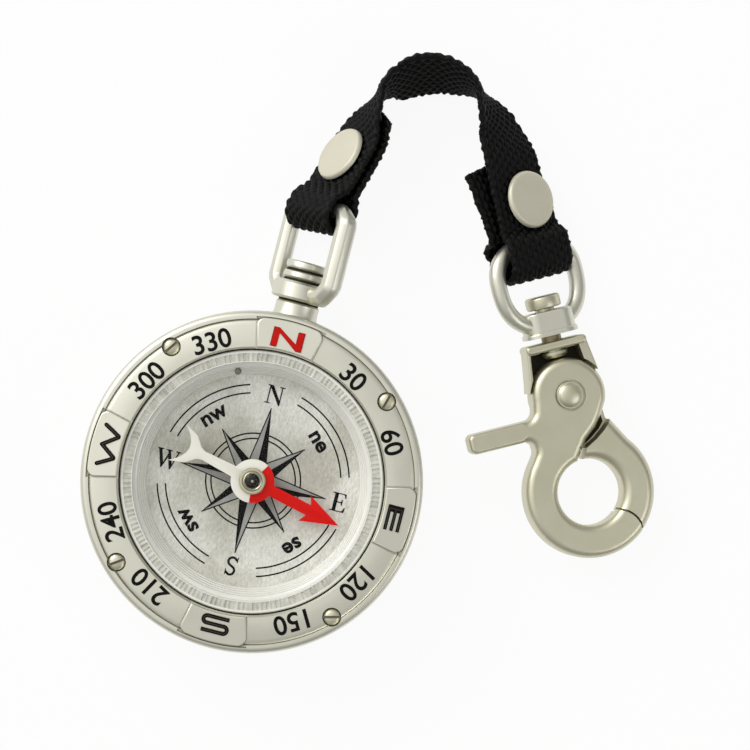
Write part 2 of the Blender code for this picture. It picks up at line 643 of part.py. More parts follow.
def left_end():
    """Where the strap loops round the shackle: along, width and face directions, swung on the bar."""
    frame = (Matrix.Translation((0, SHACKLE_BAR_Y, NECK_Z)) @ Matrix.Rotation(SHACKLE_ROLL, 4, "Y")
             @ Matrix.Rotation(STRAP_SWING, 4, "X"))
    return frame.col[3].xyz, frame.col[1].xyz, frame.col[0].xyz


def right_end():
    frame = hook_axes(EYE_ROLL) @ Matrix.Translation((0, EYE_BAR_V, 0))
    return frame.col[3].xyz, frame.col[1].xyz, -frame.col[0].xyz


def resting(x, y, wide, gap):
    """A point of the arch whose lower edge just clears the table, for a given lean of the strap."""
    flat = math.hypot(wide[0], wide[1])
    return Vector((x, y, STRAP_W / 2 * wide[2] + (STRAP_T / 2 + gap) * flat + TABLE_GAP))


def strap_spine():
    """Stations along the strap's middle: a point, the direction of its high edge, half the layer gap."""
    at_l, along_l, wide_l = left_end()
    at_r, along_r, wide_r = right_end()
    stations = [(at_l + along_l * LEFT_FOLD_AT, wide_l, LEFT_LOOP_HALF),
                (at_l + along_l * LEFT_OPEN_AT, wide_l, LEFT_LOOP_HALF),
                (at_l + along_l * LEFT_SHUT_AT, wide_l, LAYER_HALF),
                (at_l + along_l * LEFT_RIVET_AT, wide_l, LAYER_HALF)]
    lead, off, lean = LEFT_LEAD
    stations.append((at_l + along_l * lead + Vector(off), Vector(lean), LAYER_HALF))
    for aside, past, lean, gap in ARCH:
        stations.append((resting(aside, SHACKLE_BAR_Y + past, lean, gap), Vector(lean), gap))
    for lead, off, lean in RIGHT_LEADS:
        stations.append((at_r + along_r * lead + Vector(off), Vector(lean), LAYER_HALF))
    stations += [(at_r + along_r * RIGHT_OPEN_AT, wide_r, RIGHT_LOOP_HALF),
                 (at_r + along_r * RIGHT_FOLD_AT, wide_r, RIGHT_LOOP_HALF)]
    return stations


def curve_value(values, i, f):
    """Catmull-Rom value a share f of the way from station i to the next."""
    last = len(values) - 1
    a, b, c, d = values[max(i - 1, 0)], values[i], values[min(i + 1, last)], values[min(i + 2, last)]
    return (b * 2 + (c - a) * f + (a * 2 - b * 5 + c * 4 - d) * f * f
            + (b * 3 - a - c * 3 + d) * f * f * f) * 0.5


def strap_samples(per_span):
    """Smooth samples along the spine: point, along, width, face and half gap, each square to the next."""
    stations = strap_spine()
    points = [s[0] for s in stations]
    widths = [s[1].normalized() for s in stations]
    gaps = [s[2] for s in stations]
    raw = []
    for i in range(len(stations) - 1):
        for k in range(per_span):
            f = k / per_span
            ease = f * f * (3 - 2 * f)
            raw.append((curve_value(points, i, f), curve_value(widths, i, f),
                        gaps[i] * (1 - ease) + gaps[i + 1] * ease))
    raw.append((points[-1], widths[-1], gaps[-1]))
    samples = []
    for i, (point, wide, gap) in enumerate(raw):
        along = (raw[min(i + 1, len(raw) - 1)][0] - raw[max(i - 1, 0)][0]).normalized()
        wide = (wide - along * wide.dot(along)).normalized()
        samples.append((point, along, wide, wide.cross(along).normalized(), gap))
    return samples


def fold(sample, outward, radius, steps):
    """Half a turn of the strap round a bar, from its upper layer to its lower one."""
    point, along, wide, face, _ = sample
    made = []
    for k in range(1, steps):
        a = math.pi * k / steps
        made.append((point + (face * math.cos(a) + along * outward * math.sin(a)) * radius, wide))
    return made


def layer_points(samples, side):
    return [(p + n * gap * side, w) for p, _, w, n, gap in samples]


def reach(samples, start, distance):
    """Samples from one end of the spine up to a distance along it."""
    picked = [samples[start]]
    step = 1 if start == 0 else -1
    i = start
    gone = 0.0
    while gone < distance:
        j = i + step
        gone += (samples[j][0] - samples[i][0]).length
        picked.append(samples[j])
        i = j
    return picked


def tail(samples, start, fold_at, rivet_at, end_at, shift):
    """The lower layer from a fold to its cut end, sliding sideways and standing off past the rivet."""
    picked = reach(samples, start, end_at - fold_at)
    held = (rivet_at + RIVET_CAP_R + TAIL_HOLD - fold_at) / (end_at - fold_at)
    made = []
    for k, (p, _, w, n, gap) in enumerate(picked):
        share = k / (len(picked) - 1)
        flare = TAIL_FLARE * max(0.0, (share - held) / (1 - held))
        made.append((p - n * (gap + flare) + w * shift * share, w))
    return made


def strap_frames(per_span):
    """Placements of the strap's section from its left cut end to its right one."""
    samples = strap_samples(per_span)
    last = len(samples) - 1
    left_tail = tail(samples, 0, LEFT_FOLD_AT, LEFT_RIVET_AT, LEFT_TAIL_AT, 0.0)
    right_tail = tail(samples, last, RIGHT_FOLD_AT, RIGHT_RIVET_AT, RIGHT_TAIL_AT, RIGHT_TAIL_SHIFT)
    line = list(reversed(left_tail))
    line += list(reversed(fold(samples[0], -1, LEFT_LOOP_HALF, 8)))
    line += layer_points(samples, 1)
    line += fold(samples[last], 1, RIGHT_LOOP_HALF, 8)
    line += right_tail
    frames = []
    for i, (point, wide) in enumerate(line):
        along = (line[min(i + 1, len(line) - 1)][0] - line[max(i - 1, 0)][0]).normalized()
        wide = (wide - along * wide.dot(along)).normalized()
        frames.append(placed(wide, along.cross(wide), along, point))
    return frames


def strap_rivet_frames():
    """Placements of the two rivets: z out of the strap's upper face."""
    at_l, along_l, wide_l = left_end()
    spots = {"compass": at_l + along_l * LEFT_RIVET_AT}
    at_r, along_r, _ = right_end()
    spots["hook"] = at_r + along_r * RIGHT_RIVET_AT
    frames = {}
    for name, spot in spots.items():
        near = min(strap_samples(6), key=lambda s: (s[0] - spot).length)
        point, along, wide, face, _ = near
        shift = RIGHT_RIVET_SHIFT if name == "hook" else 0.0
        frames[name] = placed(wide, face.cross(wide), face, spot + wide * shift)
    return frames


def strap():
    half, thick, e = STRAP_W / 2, STRAP_T / 2, STRAP_EDGE
    section = [(half, -thick + e), (half, thick - e), (half - e, thick), (-half + e, thick),
               (-half, thick - e), (-half, -thick + e), (-half + e, -thick), (half - e, -thick)]
    made = finish("strap_webbing", swept(section, strap_frames(STRAP_STEPS), False), WEBBING)
    cuts = []
    for name, frame in strap_rivet_frames().items():
        hole = round_bar(RIVET_POST_R + GAP, -LAYER_HALF - STRAP_T, LAYER_HALF + STRAP_T, 16)
        cuts.append(cutter(f"cut_{name}_rivet", hole, None, frame))
        strap_rivet(name, frame)
    combine(made, cuts, "DIFFERENCE")


def strap_rivet(name, frame):
    """A double cap rivet: a domed cap with its post, and a domed back with the socket."""
    seat = LAYER_HALF + STRAP_T / 2 + GAP
    foot = -seat - RIVET_POST_PAST
    cap = [(0, foot), (RIVET_POST_R, foot), (RIVET_POST_R, seat)]
    cap += rivet_dome(RIVET_CAP_R, seat) + [(0, seat + RIVET_CAP_H)]
    finish(f"{name}_rivet_cap", turned(cap, FINE), STEEL, None, frame)
    socket = RIVET_POST_R + GAP
    back = [(0, -seat - RIVET_CAP_H), *[(x, -y) for x, y in reversed(rivet_dome(RIVET_BACK_R, seat))],
            (socket, -seat), (socket, -seat - RIVET_SOCKET), (0, -seat - RIVET_SOCKET)]
    finish(f"{name}_rivet_back", turned(back, FINE), STEEL, None, frame)


def rivet_dome(radius, seat):
    """Outer side of a cap from its rim towards the middle."""
    rise = RIVET_CAP_H - RIVET_CAP_RIM
    rim = seat + RIVET_CAP_RIM
    dome = [(radius * 0.97, seat), (radius, rim)]
    return dome + [(radius * math.cos(a), rim + rise * math.sin(a)) for a in (0.35, 0.7, 1.05, 1.35)]


def eye_path():
    """Centre line of the eye: a rounded D that runs into its boss."""
    points = []
    for i in range(EYE_STEPS):
        a = 2 * math.pi * i / EYE_STEPS
        c, s = math.cos(a), math.sin(a)
        tall = EYE_BAR_V - EYE_WIDEST_V if s > 0 else EYE_WIDEST_V - EYE_FOOT_V
        power = 2 / EYE_SHAPE
        points.append(Vector((EYE_HALF_W * math.copysign(abs(c) ** power, c),
                              EYE_WIDEST_V + tall * math.copysign(abs(s) ** power, s), 0)))
    return points


def hook_eye():
    frame = empty("eye_axis", hook_axes(EYE_ROLL))
    ring = swept(circle(EYE_WIRE_R, 12), ring_frames(eye_path(), Vector((0, 0, 1))), True)
    made = finish("hook_eye", ring, SATIN, frame)
    e = 0.25
    boss = turned([(0, BOSS_END_V), (BOSS_FLANGE_R - e, BOSS_END_V), (BOSS_FLANGE_R, BOSS_END_V + e),
                   (BOSS_FLANGE_R - 0.1, BOSS_END_V + BOSS_FLANGE_T),
                   (BOSS_R, BOSS_END_V + 2 * BOSS_FLANGE_T),
                   (BOSS_R, BOSS_TOP_V - e), (BOSS_R - e, BOSS_TOP_V), (0, BOSS_TOP_V)], FINE, True)
    combine(made, [cutter("guide_boss", boss, frame)], "UNION", "MANIFOLD")
    bore = round_bar(POST_R + GAP, BOSS_END_V - OVERRUN, BOSS_TOP_V + OVERRUN, FINE, True)
    head_room = round_bar(POST_HEAD_R + GAP, BOSS_TOP_V, POST_HEAD_HALF + GAP + EYE_WIRE_R, FINE, True)
    foot_room = round_bar(EYE_HALF_W, BOSS_END_V - OVERRUN, BOSS_END_V, FINE, True)
    cuts = [cutter("cut_eye_bore", bore, frame), cutter("cut_post_room", head_room, frame),
            cutter("cut_eye_foot", foot_room, frame)]
    combine(made, cuts, "DIFFERENCE", "MANIFOLD")


def hook_frame(frame):
    """Top plate, two walls, a back cheek that carries the pivot, and the fixed right jaw."""
    t = HOOK_HALF_T
    low_v = PLATE_TOP_V - PLATE_T
    outer_join = math.radians(40)
    jaw = arc(JAW_CENTRE, JAW_R, SPLIT_ANGLE + SPLIT_GAP / JAW_R, outer_join, 16)
    jaw += [(4.95, -17.2), (3.7, -18.35), (2.45, -19.25), (0.75, -20.15), (0.55, -20.7)]
    jaw += arc(JAW_CENTRE, JAW_HOLE_R, math.radians(88), SPLIT_ANGLE + SPLIT_GAP / JAW_HOLE_R, 14)
    made = finish("hook_frame", plate(jaw, -t, t, EDGE_ROUND), SATIN, frame)
    cheek = [(PLATE_HALF_W - 0.1, low_v + 0.5), (-PLATE_HALF_W + 0.1, low_v + 0.5), (-4.75, -10.7)]
    cheek += arc(PIVOT, CHEEK_R, math.radians(165), math.radians(272), 12)
    cheek += [(0.45, -18.6), (0.6, -21.0), (3.0, -21.0), (6.9, -21.5), (6.75, -20.4), (5.6, -18.6),
              (4.9, -16.9), (4.8, -15.2), (5.0, -12.8), (4.95, -11.0)]
    left = [(-PLATE_HALF_W, low_v + 0.3), (-4.85, -10.9), (-3.9, -10.9), (-3.2, low_v + 0.3)]
    right = [(3.0, low_v + 0.3), (3.6, -10.6), (4.93, -10.6), (PLATE_HALF_W + 0.05, low_v + 0.3)]
    wide = PLATE_HALF_W
    top = [(wide, low_v), (wide, PLATE_TOP_V), (-wide, PLATE_TOP_V), (-wide, low_v)]
    walls = [cutter("guide_left_wall", plate(left, -t + 0.05, t - 0.4, 0.15), frame),
             cutter("guide_right_wall", plate(right, -t + 0.05, t - 0.4, 0.15), frame)]
    room = round_bar(HEAD_R + GAP, -t + CHEEK_T, t + OVERRUN, 3 * FINE)
    spot = Matrix.Translation((PIVOT[0], PIVOT[1], 0))
    combine(walls[0], [cutter("cut_head_room", room, frame, spot)], "DIFFERENCE")
    combine(walls[1], [bpy.data.objects["cut_head_room"]], "DIFFERENCE")
    plate_solid = cutter("guide_top_plate", plate(top, -t - 0.15, t + 0.15, 0.3), frame)
    cheek_solid = cutter("guide_cheek", plate(cheek, -t + 0.02, -t + CHEEK_T, 0.2), frame)
    combine(made, [cheek_solid, plate_solid] + walls, "UNION")
    post_hole = round_bar(POST_R + GAP, low_v - OVERRUN, PLATE_TOP_V + OVERRUN, FINE, True)
    tail_room = round_bar(POST_TAIL_R + GAP, low_v - OVERRUN, low_v, FINE, True)
    pivot_hole = round_bar(RIVET_R + GAP, -t - OVERRUN, t, FINE)
    combine(made, [cutter("cut_post_hole", post_hole, frame), cutter("cut_tail_room", tail_room, frame),
                   cutter("cut_pivot_hole", pivot_hole, frame, spot)], "DIFFERENCE")


def swivel_post(frame):
    e = 0.35
    foot = PLATE_TOP_V - PLATE_T - GAP
    end = foot - POST_TAIL_T
    top = POST_HEAD_HALF
    profile = [(0, end), (POST_TAIL_R - e, end), (POST_TAIL_R, end + e), (POST_TAIL_R, foot), (POST_R, foot),
               (POST_R, -top), (POST_HEAD_R, -top), (POST_HEAD_R, top - e), (POST_HEAD_R - e, top), (0, top)]
    finish("hook_swivel_post", turned(profile, FINE, True), STEEL, frame)


def trigger_outline():
    """The trigger seen from above: head, lever, and the jaw from its heel round to the split."""
    neck_v = -13.3
    lever_low = LEVER_TOP_V - LEVER_W
    tip = LEVER_TIP_C
    r = 0.7
    outline = arc(PIVOT, HEAD_R, math.radians(-22), math.radians(178), 30)
    outline += [(-4.95, neck_v)]
    outline += arc((-6.3, neck_v - 0.15), 1.3, 0.0, -math.pi / 2, 5)[1:]
    outline += arc((tip + r, LEVER_TOP_V - r), r, math.pi / 2, math.pi, 3)
    outline += arc((tip + r, lever_low + r), r, math.pi, 1.5 * math.pi, 3)
    outline += arc((-7.3, lever_low - 1.35), 1.35, math.pi / 2, math.radians(-28), 6)
    outline += arc(JAW_CENTRE, JAW_R, math.radians(140), 2 * math.pi + SPLIT_ANGLE - math.radians(3), 30)
    outline += [(5.2, -32.15), (4.98, -31.35), (4.5, -30.58), (3.78, -29.88)]
    outline += arc(JAW_CENTRE, JAW_HOLE_R, 2 * math.pi + SPLIT_ANGLE, math.radians(104), 26)
    outline += [(-0.35, -21.1), (-0.1, -20.6), (-0.2, -19.8), (1.1, -19.1), (2.75, -17.75), (3.8, -16.4)]
    return outline


def trigger(frame):
    t = HOOK_HALF_T
    spot = Matrix.Translation((PIVOT[0], PIVOT[1], 0))
    axis = empty("trigger_axis", spot, frame)
    back = spot.inverted()
    made = finish("hook_trigger", plate(trigger_outline(), -t, t, EDGE_ROUND), SATIN, axis, back)
    split_v = -18.3
    room = [(-16, -7), (-16, split_v), (0.05, split_v), (0.05, -22.5), (7, -22.5), (7, -7)]
    floor = -t + CHEEK_T + GAP
    above, below = t + OVERRUN, floor - OVERRUN
    pocket_end = floor + SPRING_POCKET_DEPTH
    cuts = [cutter("cut_cheek_room", plate(room, -t - OVERRUN, floor), axis, back),
            cutter("cut_pivot_bore", round_bar(RIVET_R + GAP, -t, above, FINE), axis),
            cutter("cut_rivet_recess", round_bar(RIVET_FLANGE_R + GAP, t - RIVET_RECESS, above, FINE), axis),
            cutter("cut_spring_pocket", round_bar(SPRING_POCKET_R, below, pocket_end), axis)]
    combine(made, cuts, "DIFFERENCE", "MANIFOLD")


def pivot_rivet(frame):
    t = HOOK_HALF_T
    spot = Matrix.Translation((PIVOT[0], PIVOT[1], 0))
    seat = t - RIVET_RECESS + RIVET_RAISE
    rim = seat + RIVET_FLANGE_T
    dome = [(RIVET_DOME_R * math.cos(a), rim + RIVET_DOME_H * math.sin(a)) for a in (0.0, 0.5, 1.0, 1.3)]
    tail_seat = -t - RIVET_TAIL_GAP
    profile = [(0, tail_seat - RIVET_TAIL_T), (RIVET_TAIL_R - 0.5, tail_seat - RIVET_TAIL_T),
               (RIVET_TAIL_R, tail_seat - RIVET_TAIL_T / 2), (RIVET_TAIL_R, tail_seat), (RIVET_R, tail_seat),
               (RIVET_R, seat), (RIVET_FLANGE_R, seat), (RIVET_FLANGE_R, rim)]
    profile += dome + [(0, rim + RIVET_DOME_H)]
    finish("hook_pivot_rivet", turned(profile, FINE), STEEL, frame, spot)


def spring_path():
    """A torsion spring: a wound tube whose two ends run straight off the coil."""
    base = -HOOK_HALF_T + CHEEK_T + GAP + 0.1 + SPRING_WIRE / 2
    points = []
    steps = round(10 * SPRING_TURNS)
    for i in range(steps + 1):
        turn = 2 * math.pi * SPRING_TURNS * i / steps
        points.append(Vector((SPRING_R * math.cos(turn), SPRING_R * math.sin(turn),
                              base + SPRING_PITCH * turn / (2 * math.pi))))
    leg = SPRING_WIRE * 2.5
    points.insert(0, points[0] + Vector((0, -leg, 0)))
    end = (points[-1] - points[-2]).normalized()
    points.append(points[-1] + Vector((end.x, end.y, 0)) * leg)
    return points


def trigger_spring(frame):
    points = spring_path()
    apart = min((a - b).length for i, a in enumerate(points) for b in points[i + 6:])
    print(f"Trigger spring: least gap between turns {apart - SPRING_WIRE:.2f} mm")
    data = bpy.data.curves.new("trigger_spring", "CURVE")
    data.dimensions = "3D"
    line = data.splines.new("POLY")
    line.points.add(len(points) - 1)
    for target, point in zip(line.points, points):
        target.co = (*(point * MM), 1.0)
    data.bevel_depth = SPRING_WIRE / 2 * MM
    data.bevel_resolution = 1
    data.use_fill_caps = True
    data.materials.append(STEEL)
    made = bpy.data.objects.new("trigger_spring", data)
    bpy.context.collection.objects.link(made)
    made.parent = frame
    made.matrix_local = metres(Matrix.Translation((PIVOT[0], PIVOT[1], 0)))


case_body()
back_cover()
bezel_ring()
bezel_screws()
capsule()
dial_plate()
pivot_pin()
needle()
neck_pin()
shackle()
strap()
hook_eye()
hook_line = empty("hook_axis", hook_axes(HOOK_ROLL))
hook_frame(hook_line)
swivel_post(hook_line)
trigger(hook_line)
pivot_rivet(hook_line)
trigger_spring(hook_line)
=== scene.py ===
# %% [markdown]
# # A keychain compass in Blender
# The object is a liquid compass in a satin nickel case. A shackle turns on its neck, a short webbing strap
# hangs from the shackle, and a trigger snap hook swivels on the strap's other end.
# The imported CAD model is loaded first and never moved. The places and main sizes written here are the CAD's,
# so each piece stands where its CAD solid stands. All lengths are written in millimetres and turned to metres
# once, when a piece is finished.

# %% Load the frame
import math

import bmesh
import bpy
from mathutils import Matrix, Vector


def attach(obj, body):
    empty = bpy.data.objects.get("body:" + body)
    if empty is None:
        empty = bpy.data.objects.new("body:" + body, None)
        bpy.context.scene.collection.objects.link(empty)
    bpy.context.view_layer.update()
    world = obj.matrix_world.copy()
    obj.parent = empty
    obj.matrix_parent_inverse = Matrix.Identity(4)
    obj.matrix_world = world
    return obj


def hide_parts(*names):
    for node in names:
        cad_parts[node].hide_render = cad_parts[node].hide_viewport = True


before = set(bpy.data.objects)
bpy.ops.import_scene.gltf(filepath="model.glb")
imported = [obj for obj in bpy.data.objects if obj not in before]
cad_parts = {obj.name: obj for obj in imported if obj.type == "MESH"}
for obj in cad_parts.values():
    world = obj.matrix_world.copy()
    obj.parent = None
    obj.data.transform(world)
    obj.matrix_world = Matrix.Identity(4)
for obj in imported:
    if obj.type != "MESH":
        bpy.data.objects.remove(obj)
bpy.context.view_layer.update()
MM = 0.001
GAP = 0.3  # what the CAD leaves between two fitted pieces, in mm

# %% [markdown]
# ## Camera
# The photograph looks straight down on the object from about half a metre. The object lies turned a little
# clockwise in the picture, which is the same as a camera turned the other way. The lens fits a field
# 98.7 mm wide at 10 mm above the table, which is just under the bezel.

# %% Make the camera
PICTURE_TURN = math.radians(14.3)
CAMERA_POINT = Vector((12.22, 17.58, 460.0))
FIELD_WIDTH = 98.684
FIELD_DISTANCE = 450.0

lens = bpy.data.cameras.new("picture_camera")
lens.sensor_width = 36.0
lens.lens = lens.sensor_width * FIELD_DISTANCE / FIELD_WIDTH
lens.clip_start = 0.01
lens.clip_end = 10.0
camera = bpy.data.objects.new("picture_camera", lens)
bpy.context.collection.objects.link(camera)
camera.matrix_world = Matrix.Translation(CAMERA_POINT * MM) @ Matrix.Rotation(PICTURE_TURN, 4, "Z")
bpy.context.scene.camera = camera
print(f"Camera {CAMERA_POINT.z:.0f} mm up with a {lens.lens:.1f} mm lens")

# %% [markdown]
# ## Helpers for materials
# A shader is a small graph of nodes. One function adds a node, sets its sockets and links them, and a second
# one makes a whole surface whose tone, gloss and bump follow noise. Colours are written as sRGB hex, as a
# paint chart gives them, and one function turns them into the linear values that a shader needs.

# %% Colours and nodes
def colour(code):
    parts = [int(code[i:i + 2], 16) / 255 for i in (0, 2, 4)]
    return [p / 12.92 if p <= 0.04045 else ((p + 0.055) / 1.055) ** 2.4 for p in parts] + [1.0]


def add_node(tree, kind, settings=None, links=None):
    """A node with its properties or sockets set, and its inputs linked to other nodes' outputs."""
    made = tree.nodes.new(kind)
    for name, value in (settings or {}).items():
        if isinstance(name, str) and hasattr(made, name):
            setattr(made, name, value)
        else:
            made.inputs[name].default_value = value
    for name, socket in (links or {}).items():
        tree.links.new(socket, made.inputs[name])
    return made


def new_material(name, **sockets):
    """An empty material with its Principled shader, whose fixed values are set on its own sockets."""
    made = bpy.data.materials.new(name)
    made.use_nodes = True
    shader = made.node_tree.nodes["Principled BSDF"]
    for socket, value in sockets.items():
        shader.inputs[socket.replace("_", " ").title().replace("Ior", "IOR")].default_value = value
    return made, made.node_tree, shader


def add_tone(tree, shader, factor, tones, at=(0.0, 1.0)):
    """A tone between two hex colours that follows a 0 to 1 factor. A second one multiplies the first."""
    ramp = add_node(tree, "ShaderNodeValToRGB", {}, {"Fac": factor})
    for i, (code, position) in enumerate(zip(tones, at)):
        ramp.color_ramp.elements[i].color = colour(code)
        ramp.color_ramp.elements[i].position = position
    tone, socket = ramp.outputs["Color"], shader.inputs["Base Color"]
    if socket.is_linked:
        product = add_node(tree, "ShaderNodeMix", {"data_type": "RGBA", "blend_type": "MULTIPLY", 0: 1.0},
                           {6: socket.links[0].from_socket, 7: tone})
        tone = product.outputs[2]
    tree.links.new(tone, socket)


def surface(material, tones, lumps, gloss=None, depth_mm=0.0, grain=None, strength=1.0, at=(0.0, 1.0),
            place=None):
    """Gives a new material a tone, a roughness and a bump that follow noise on the piece.

    lumps and grain are each a size in mm, a detail and a roughness of the noise. The tone follows the lumps.
    The gloss, which is the range of roughness, and the bump follow the grain, or the lumps without one.
    """
    made, tree, shader = material
    place = place or add_node(tree, "ShaderNodeTexCoord").outputs["Object"]
    patterns = []
    for size_mm, detail, rough in [lumps, grain] if grain else [lumps]:
        settings = {"Scale": 1 / (size_mm * MM), "Detail": detail, "Roughness": rough}
        patterns.append(add_node(tree, "ShaderNodeTexNoise", settings, {"Vector": place}).outputs["Fac"])
    add_tone(tree, shader, patterns[0], tones, at)
    if gloss:
        spread = add_node(tree, "ShaderNodeMapRange", {"To Min": gloss[0], "To Max": gloss[1]},
                          {"Value": patterns[-1]})
        tree.links.new(spread.outputs[0], shader.inputs["Roughness"])
    if depth_mm:
        bump = add_node(tree, "ShaderNodeBump", {"Strength": strength, "Distance": depth_mm * MM},
                        {"Height": patterns[-1]})
        tree.links.new(bump.outputs["Normal"], shader.inputs["Normal"])
    return made


print("Helpers ready")

# %% [markdown]
# ## Satin nickel
# The case, bezel, shackle and hook are zinc castings, plated with nickel and tumbled until they are satin.
# Nickel is a warm grey. The plate keeps a fine orange-peel grain of about a quarter of a millimetre, and
# handling leaves it a little duller in patches, which breaks up the reflections. The case was blasted with
# fine beads, so it is a shade paler. The rivets' pressed caps have a matt lacquer over the plate, so part of
# their light comes back evenly, as it does from paint.

# %% Nickel
PATCH_MM = 5.0
GLOSS_VARIES = 0.07
PAINT_GLOSS_VARIES = 0.06


def nickel(name, light, dark, roughness, grain_mm, depth_mm, metallic=1.0):
    """A bare or plated metal: its two tones, its roughness, and the width and depth of its grain."""
    gloss = (roughness - GLOSS_VARIES, roughness + GLOSS_VARIES)
    return surface(new_material(name, metallic=metallic), (dark, light), (PATCH_MM, 3.0, 0.5), gloss,
                   depth_mm, grain=(grain_mm, 3.0, 0.6))


SATIN_NICKEL = nickel("satin nickel plate, tumbled", "D7D4BE", "C7C3AA", 0.4, 0.3, 0.006)
CASE_NICKEL = nickel("satin nickel plate, bead blasted", "E1E0D2", "D3D1C2", 0.4, 0.2, 0.004)
RIVET_NICKEL = nickel("pressed nickel cap under matt lacquer", "D7D3C0", "C9C5AF", 0.45, 0.3, 0.004, 0.3)
print("Nickel finishes ready")

# %% [markdown]
# ## Steel wire, brass and rubber
# The trigger spring is drawn steel wire. The hub and the pin that the needle turns on are turned brass under
# a clear lacquer, which keeps them bright. The plate has worn off the hook's post, where brass shows. Two dull
# metals are painted shade: a grey one in the screw slots and seams, and a darker one in the neck's grooves
# and the hook's hollow. The seal between lens and bezel is matt black nitrile rubber.

# %% Small metal and rubber
SPRING_STEEL = nickel("drawn spring steel", "8F8D86", "7B7972", 0.35, 0.3, 0.002)
DARK_BRASS = nickel("turned brass, lacquered", "CBC7AE", "B4AF95", 0.24, 0.2, 0.003)
WORN_BRASS = nickel("brass where the plate has worn off", "A89A7E", "877A60", 0.4, 0.3, 0.003)
# painted shade: a dull grey metal for the screw slots, the recesses round the screw heads and the bezel's seam
SLOT_SHADE = nickel("painted shade in slots and seams", "827F71", "6A675B", 0.6, 0.3, 0.004)
# painted shade: a dark metal for the grooves of the neck and the hollow behind the trigger
DEEP_SHADE = nickel("painted shade, deep", "3E3C33", "2C2A23", 0.65, 0.4, 0.004)
SHADED_STEEL = nickel("turned steel, blued", "3A3A37", "2A2A27", 0.22, 0.2, 0.002)

RUBBER = surface(new_material("nitrile rubber, matt", roughness=0.75), ("2A2620", "3A352C"), (0.3, 2.0, 0.5))
print("Small metal and rubber ready")

# %% [markdown]
# ## The dial's silver paint, the print and the lacquer
# The dial is a tin disc sprayed with silver paint, whose flakes show as a fine grey mottle. The coat is
# uneven, with soft clouds a few millimetres wide, and the dial's tone is darker towards the middle. The print
# is matt black ink. Needle lacquer is satin, red on the half that points north and cream on the other.
# Enamel fills the bezel's letters, with a painted highlight on the black ones and a darker rim on the red.

# %% Paints
dial_paint = new_material("silver dial paint, sprayed", metallic=0.25)
DIAL_SILVER, dial_tree, dial_shader = dial_paint
dial_place = add_node(dial_tree, "ShaderNodeTexCoord").outputs["Object"]
dial_stretch = add_node(dial_tree, "ShaderNodeMapping", {"Scale": (1.0, 0.45, 1.0)}, {"Vector": dial_place})
surface(dial_paint, ("C9C8C0", "F6F5ED"), (0.24, 4.0, 0.7), (0.5, 0.36), depth_mm=0.005, strength=0.6,
        at=(0.28, 0.7), place=dial_stretch.outputs["Vector"])
dial_clouds = add_node(dial_tree, "ShaderNodeTexNoise",
                       {"Scale": 1 / (7.0 * MM), "Detail": 2.0, "Roughness": 0.5}, {"Vector": dial_place})
add_tone(dial_tree, dial_shader, dial_clouds.outputs["Fac"], ("DCDBD4", "FFFFFF"), (0.35, 0.62))
# the dial's tone is made darker towards the middle and paler towards its edge
dial_reach = add_node(dial_tree, "ShaderNodeVectorMath", {"operation": "LENGTH"}, {0: dial_place})
dial_share = add_node(dial_tree, "ShaderNodeMapRange", {"From Min": 7 * MM, "From Max": 13 * MM},
                      {"Value": dial_reach.outputs["Value"]})
add_tone(dial_tree, dial_shader, dial_share.outputs[0], ("D9D9D5", "FFFFFF"))


def paint(name, light, dark, roughness, lumps_mm=1.2):
    """A coat of paint that is a little uneven in tone and gloss."""
    return surface(new_material(name, specular_ior_level=0.08), (dark, light), (lumps_mm, 3.0, 0.5),
                   (roughness - PAINT_GLOSS_VARIES, roughness + PAINT_GLOSS_VARIES), depth_mm=0.004,
                   strength=0.5)


BLACK_INK = paint("screen ink, matt black", "0E0E0D", "070707", 0.6)
GREY_INK = paint("screen ink, half tone grey", "A9A9A4", "8C8C87", 0.6)
RED_PAINT = paint("red enamel fill", "CB1B14", "B3130D", 0.45)
# painted highlight: a paler line along the strokes of the black pad letters
HIGHLIGHT_PAINT = paint("painted highlight on black enamel", "51473F", "3F3832", 0.45)
# a darker red for a rim round the red letter
RED_EDGE = paint("red enamel, darker rim", "8A1A14", "6E120D", 0.45)
BLACK_PAINT = paint("black enamel fill", "151412", "0B0B0A", 0.45)
RED_LACQUER = paint("red needle lacquer", "DC1008", "CC0A05", 0.4, 3.0)
CREAM_LACQUER = paint("cream needle lacquer", "EFEDE2", "E8E5D9", 0.35, 3.0)
print("Paints ready")

# %% [markdown]
# ## Clear and frosted acrylic
# The capsule's bowl is moulded in acrylic with a silvered inside, so it looks like pale frosted metal. The
# ribs round its rim have no silver behind them, so they are greyer and patchy. The lens is clear and flat and
# bends nothing that shows. It is a transparent shader with a faint share of gloss, which lets the lamps'
# light through to the dial.

# %% Acrylic
FROSTED = surface(
    new_material("acrylic, silvered inside", metallic=0.1, coat_weight=0.6, coat_roughness=0.12),
    ("E2E1D9", "F0EFE8"), (1.6, 4.0, 0.5), (0.3, 0.42))
RIBBED = surface(new_material("acrylic, ribbed and unsilvered", coat_weight=0.3), ("B0AEA3", "D6D5CA"),
                 (1.6, 4.0, 0.7), (0.3, 0.5), at=(0.3, 0.62))

LENS, lens_tree, _ = new_material("acrylic lens, polished", roughness=0.06, ior=1.49)
lens_open = add_node(lens_tree, "ShaderNodeBsdfTransparent", {"Color": colour("FFFFFF")})
lens_sheen = add_node(lens_tree, "ShaderNodeBsdfGlossy", {"Color": colour("FFFFFF"), "Roughness": 0.06})
lens_mix = add_node(lens_tree, "ShaderNodeMixShader", {0: 0.004},
                    {1: lens_open.outputs["BSDF"], 2: lens_sheen.outputs["BSDF"]})
lens_tree.links.new(lens_mix.outputs["Shader"], lens_tree.nodes["Material Output"].inputs["Surface"])
print("Acrylic ready")

# %% [markdown]
# ## Black webbing
# The strap is woven from black polypropylene yarn. Its floats are real bumps in the mesh, because they
# show at its edges. The material only adds the strands inside each float, about 0.12 mm thick, along the
# tape. They follow the piece's own UV map, which is the flat tape in metres.

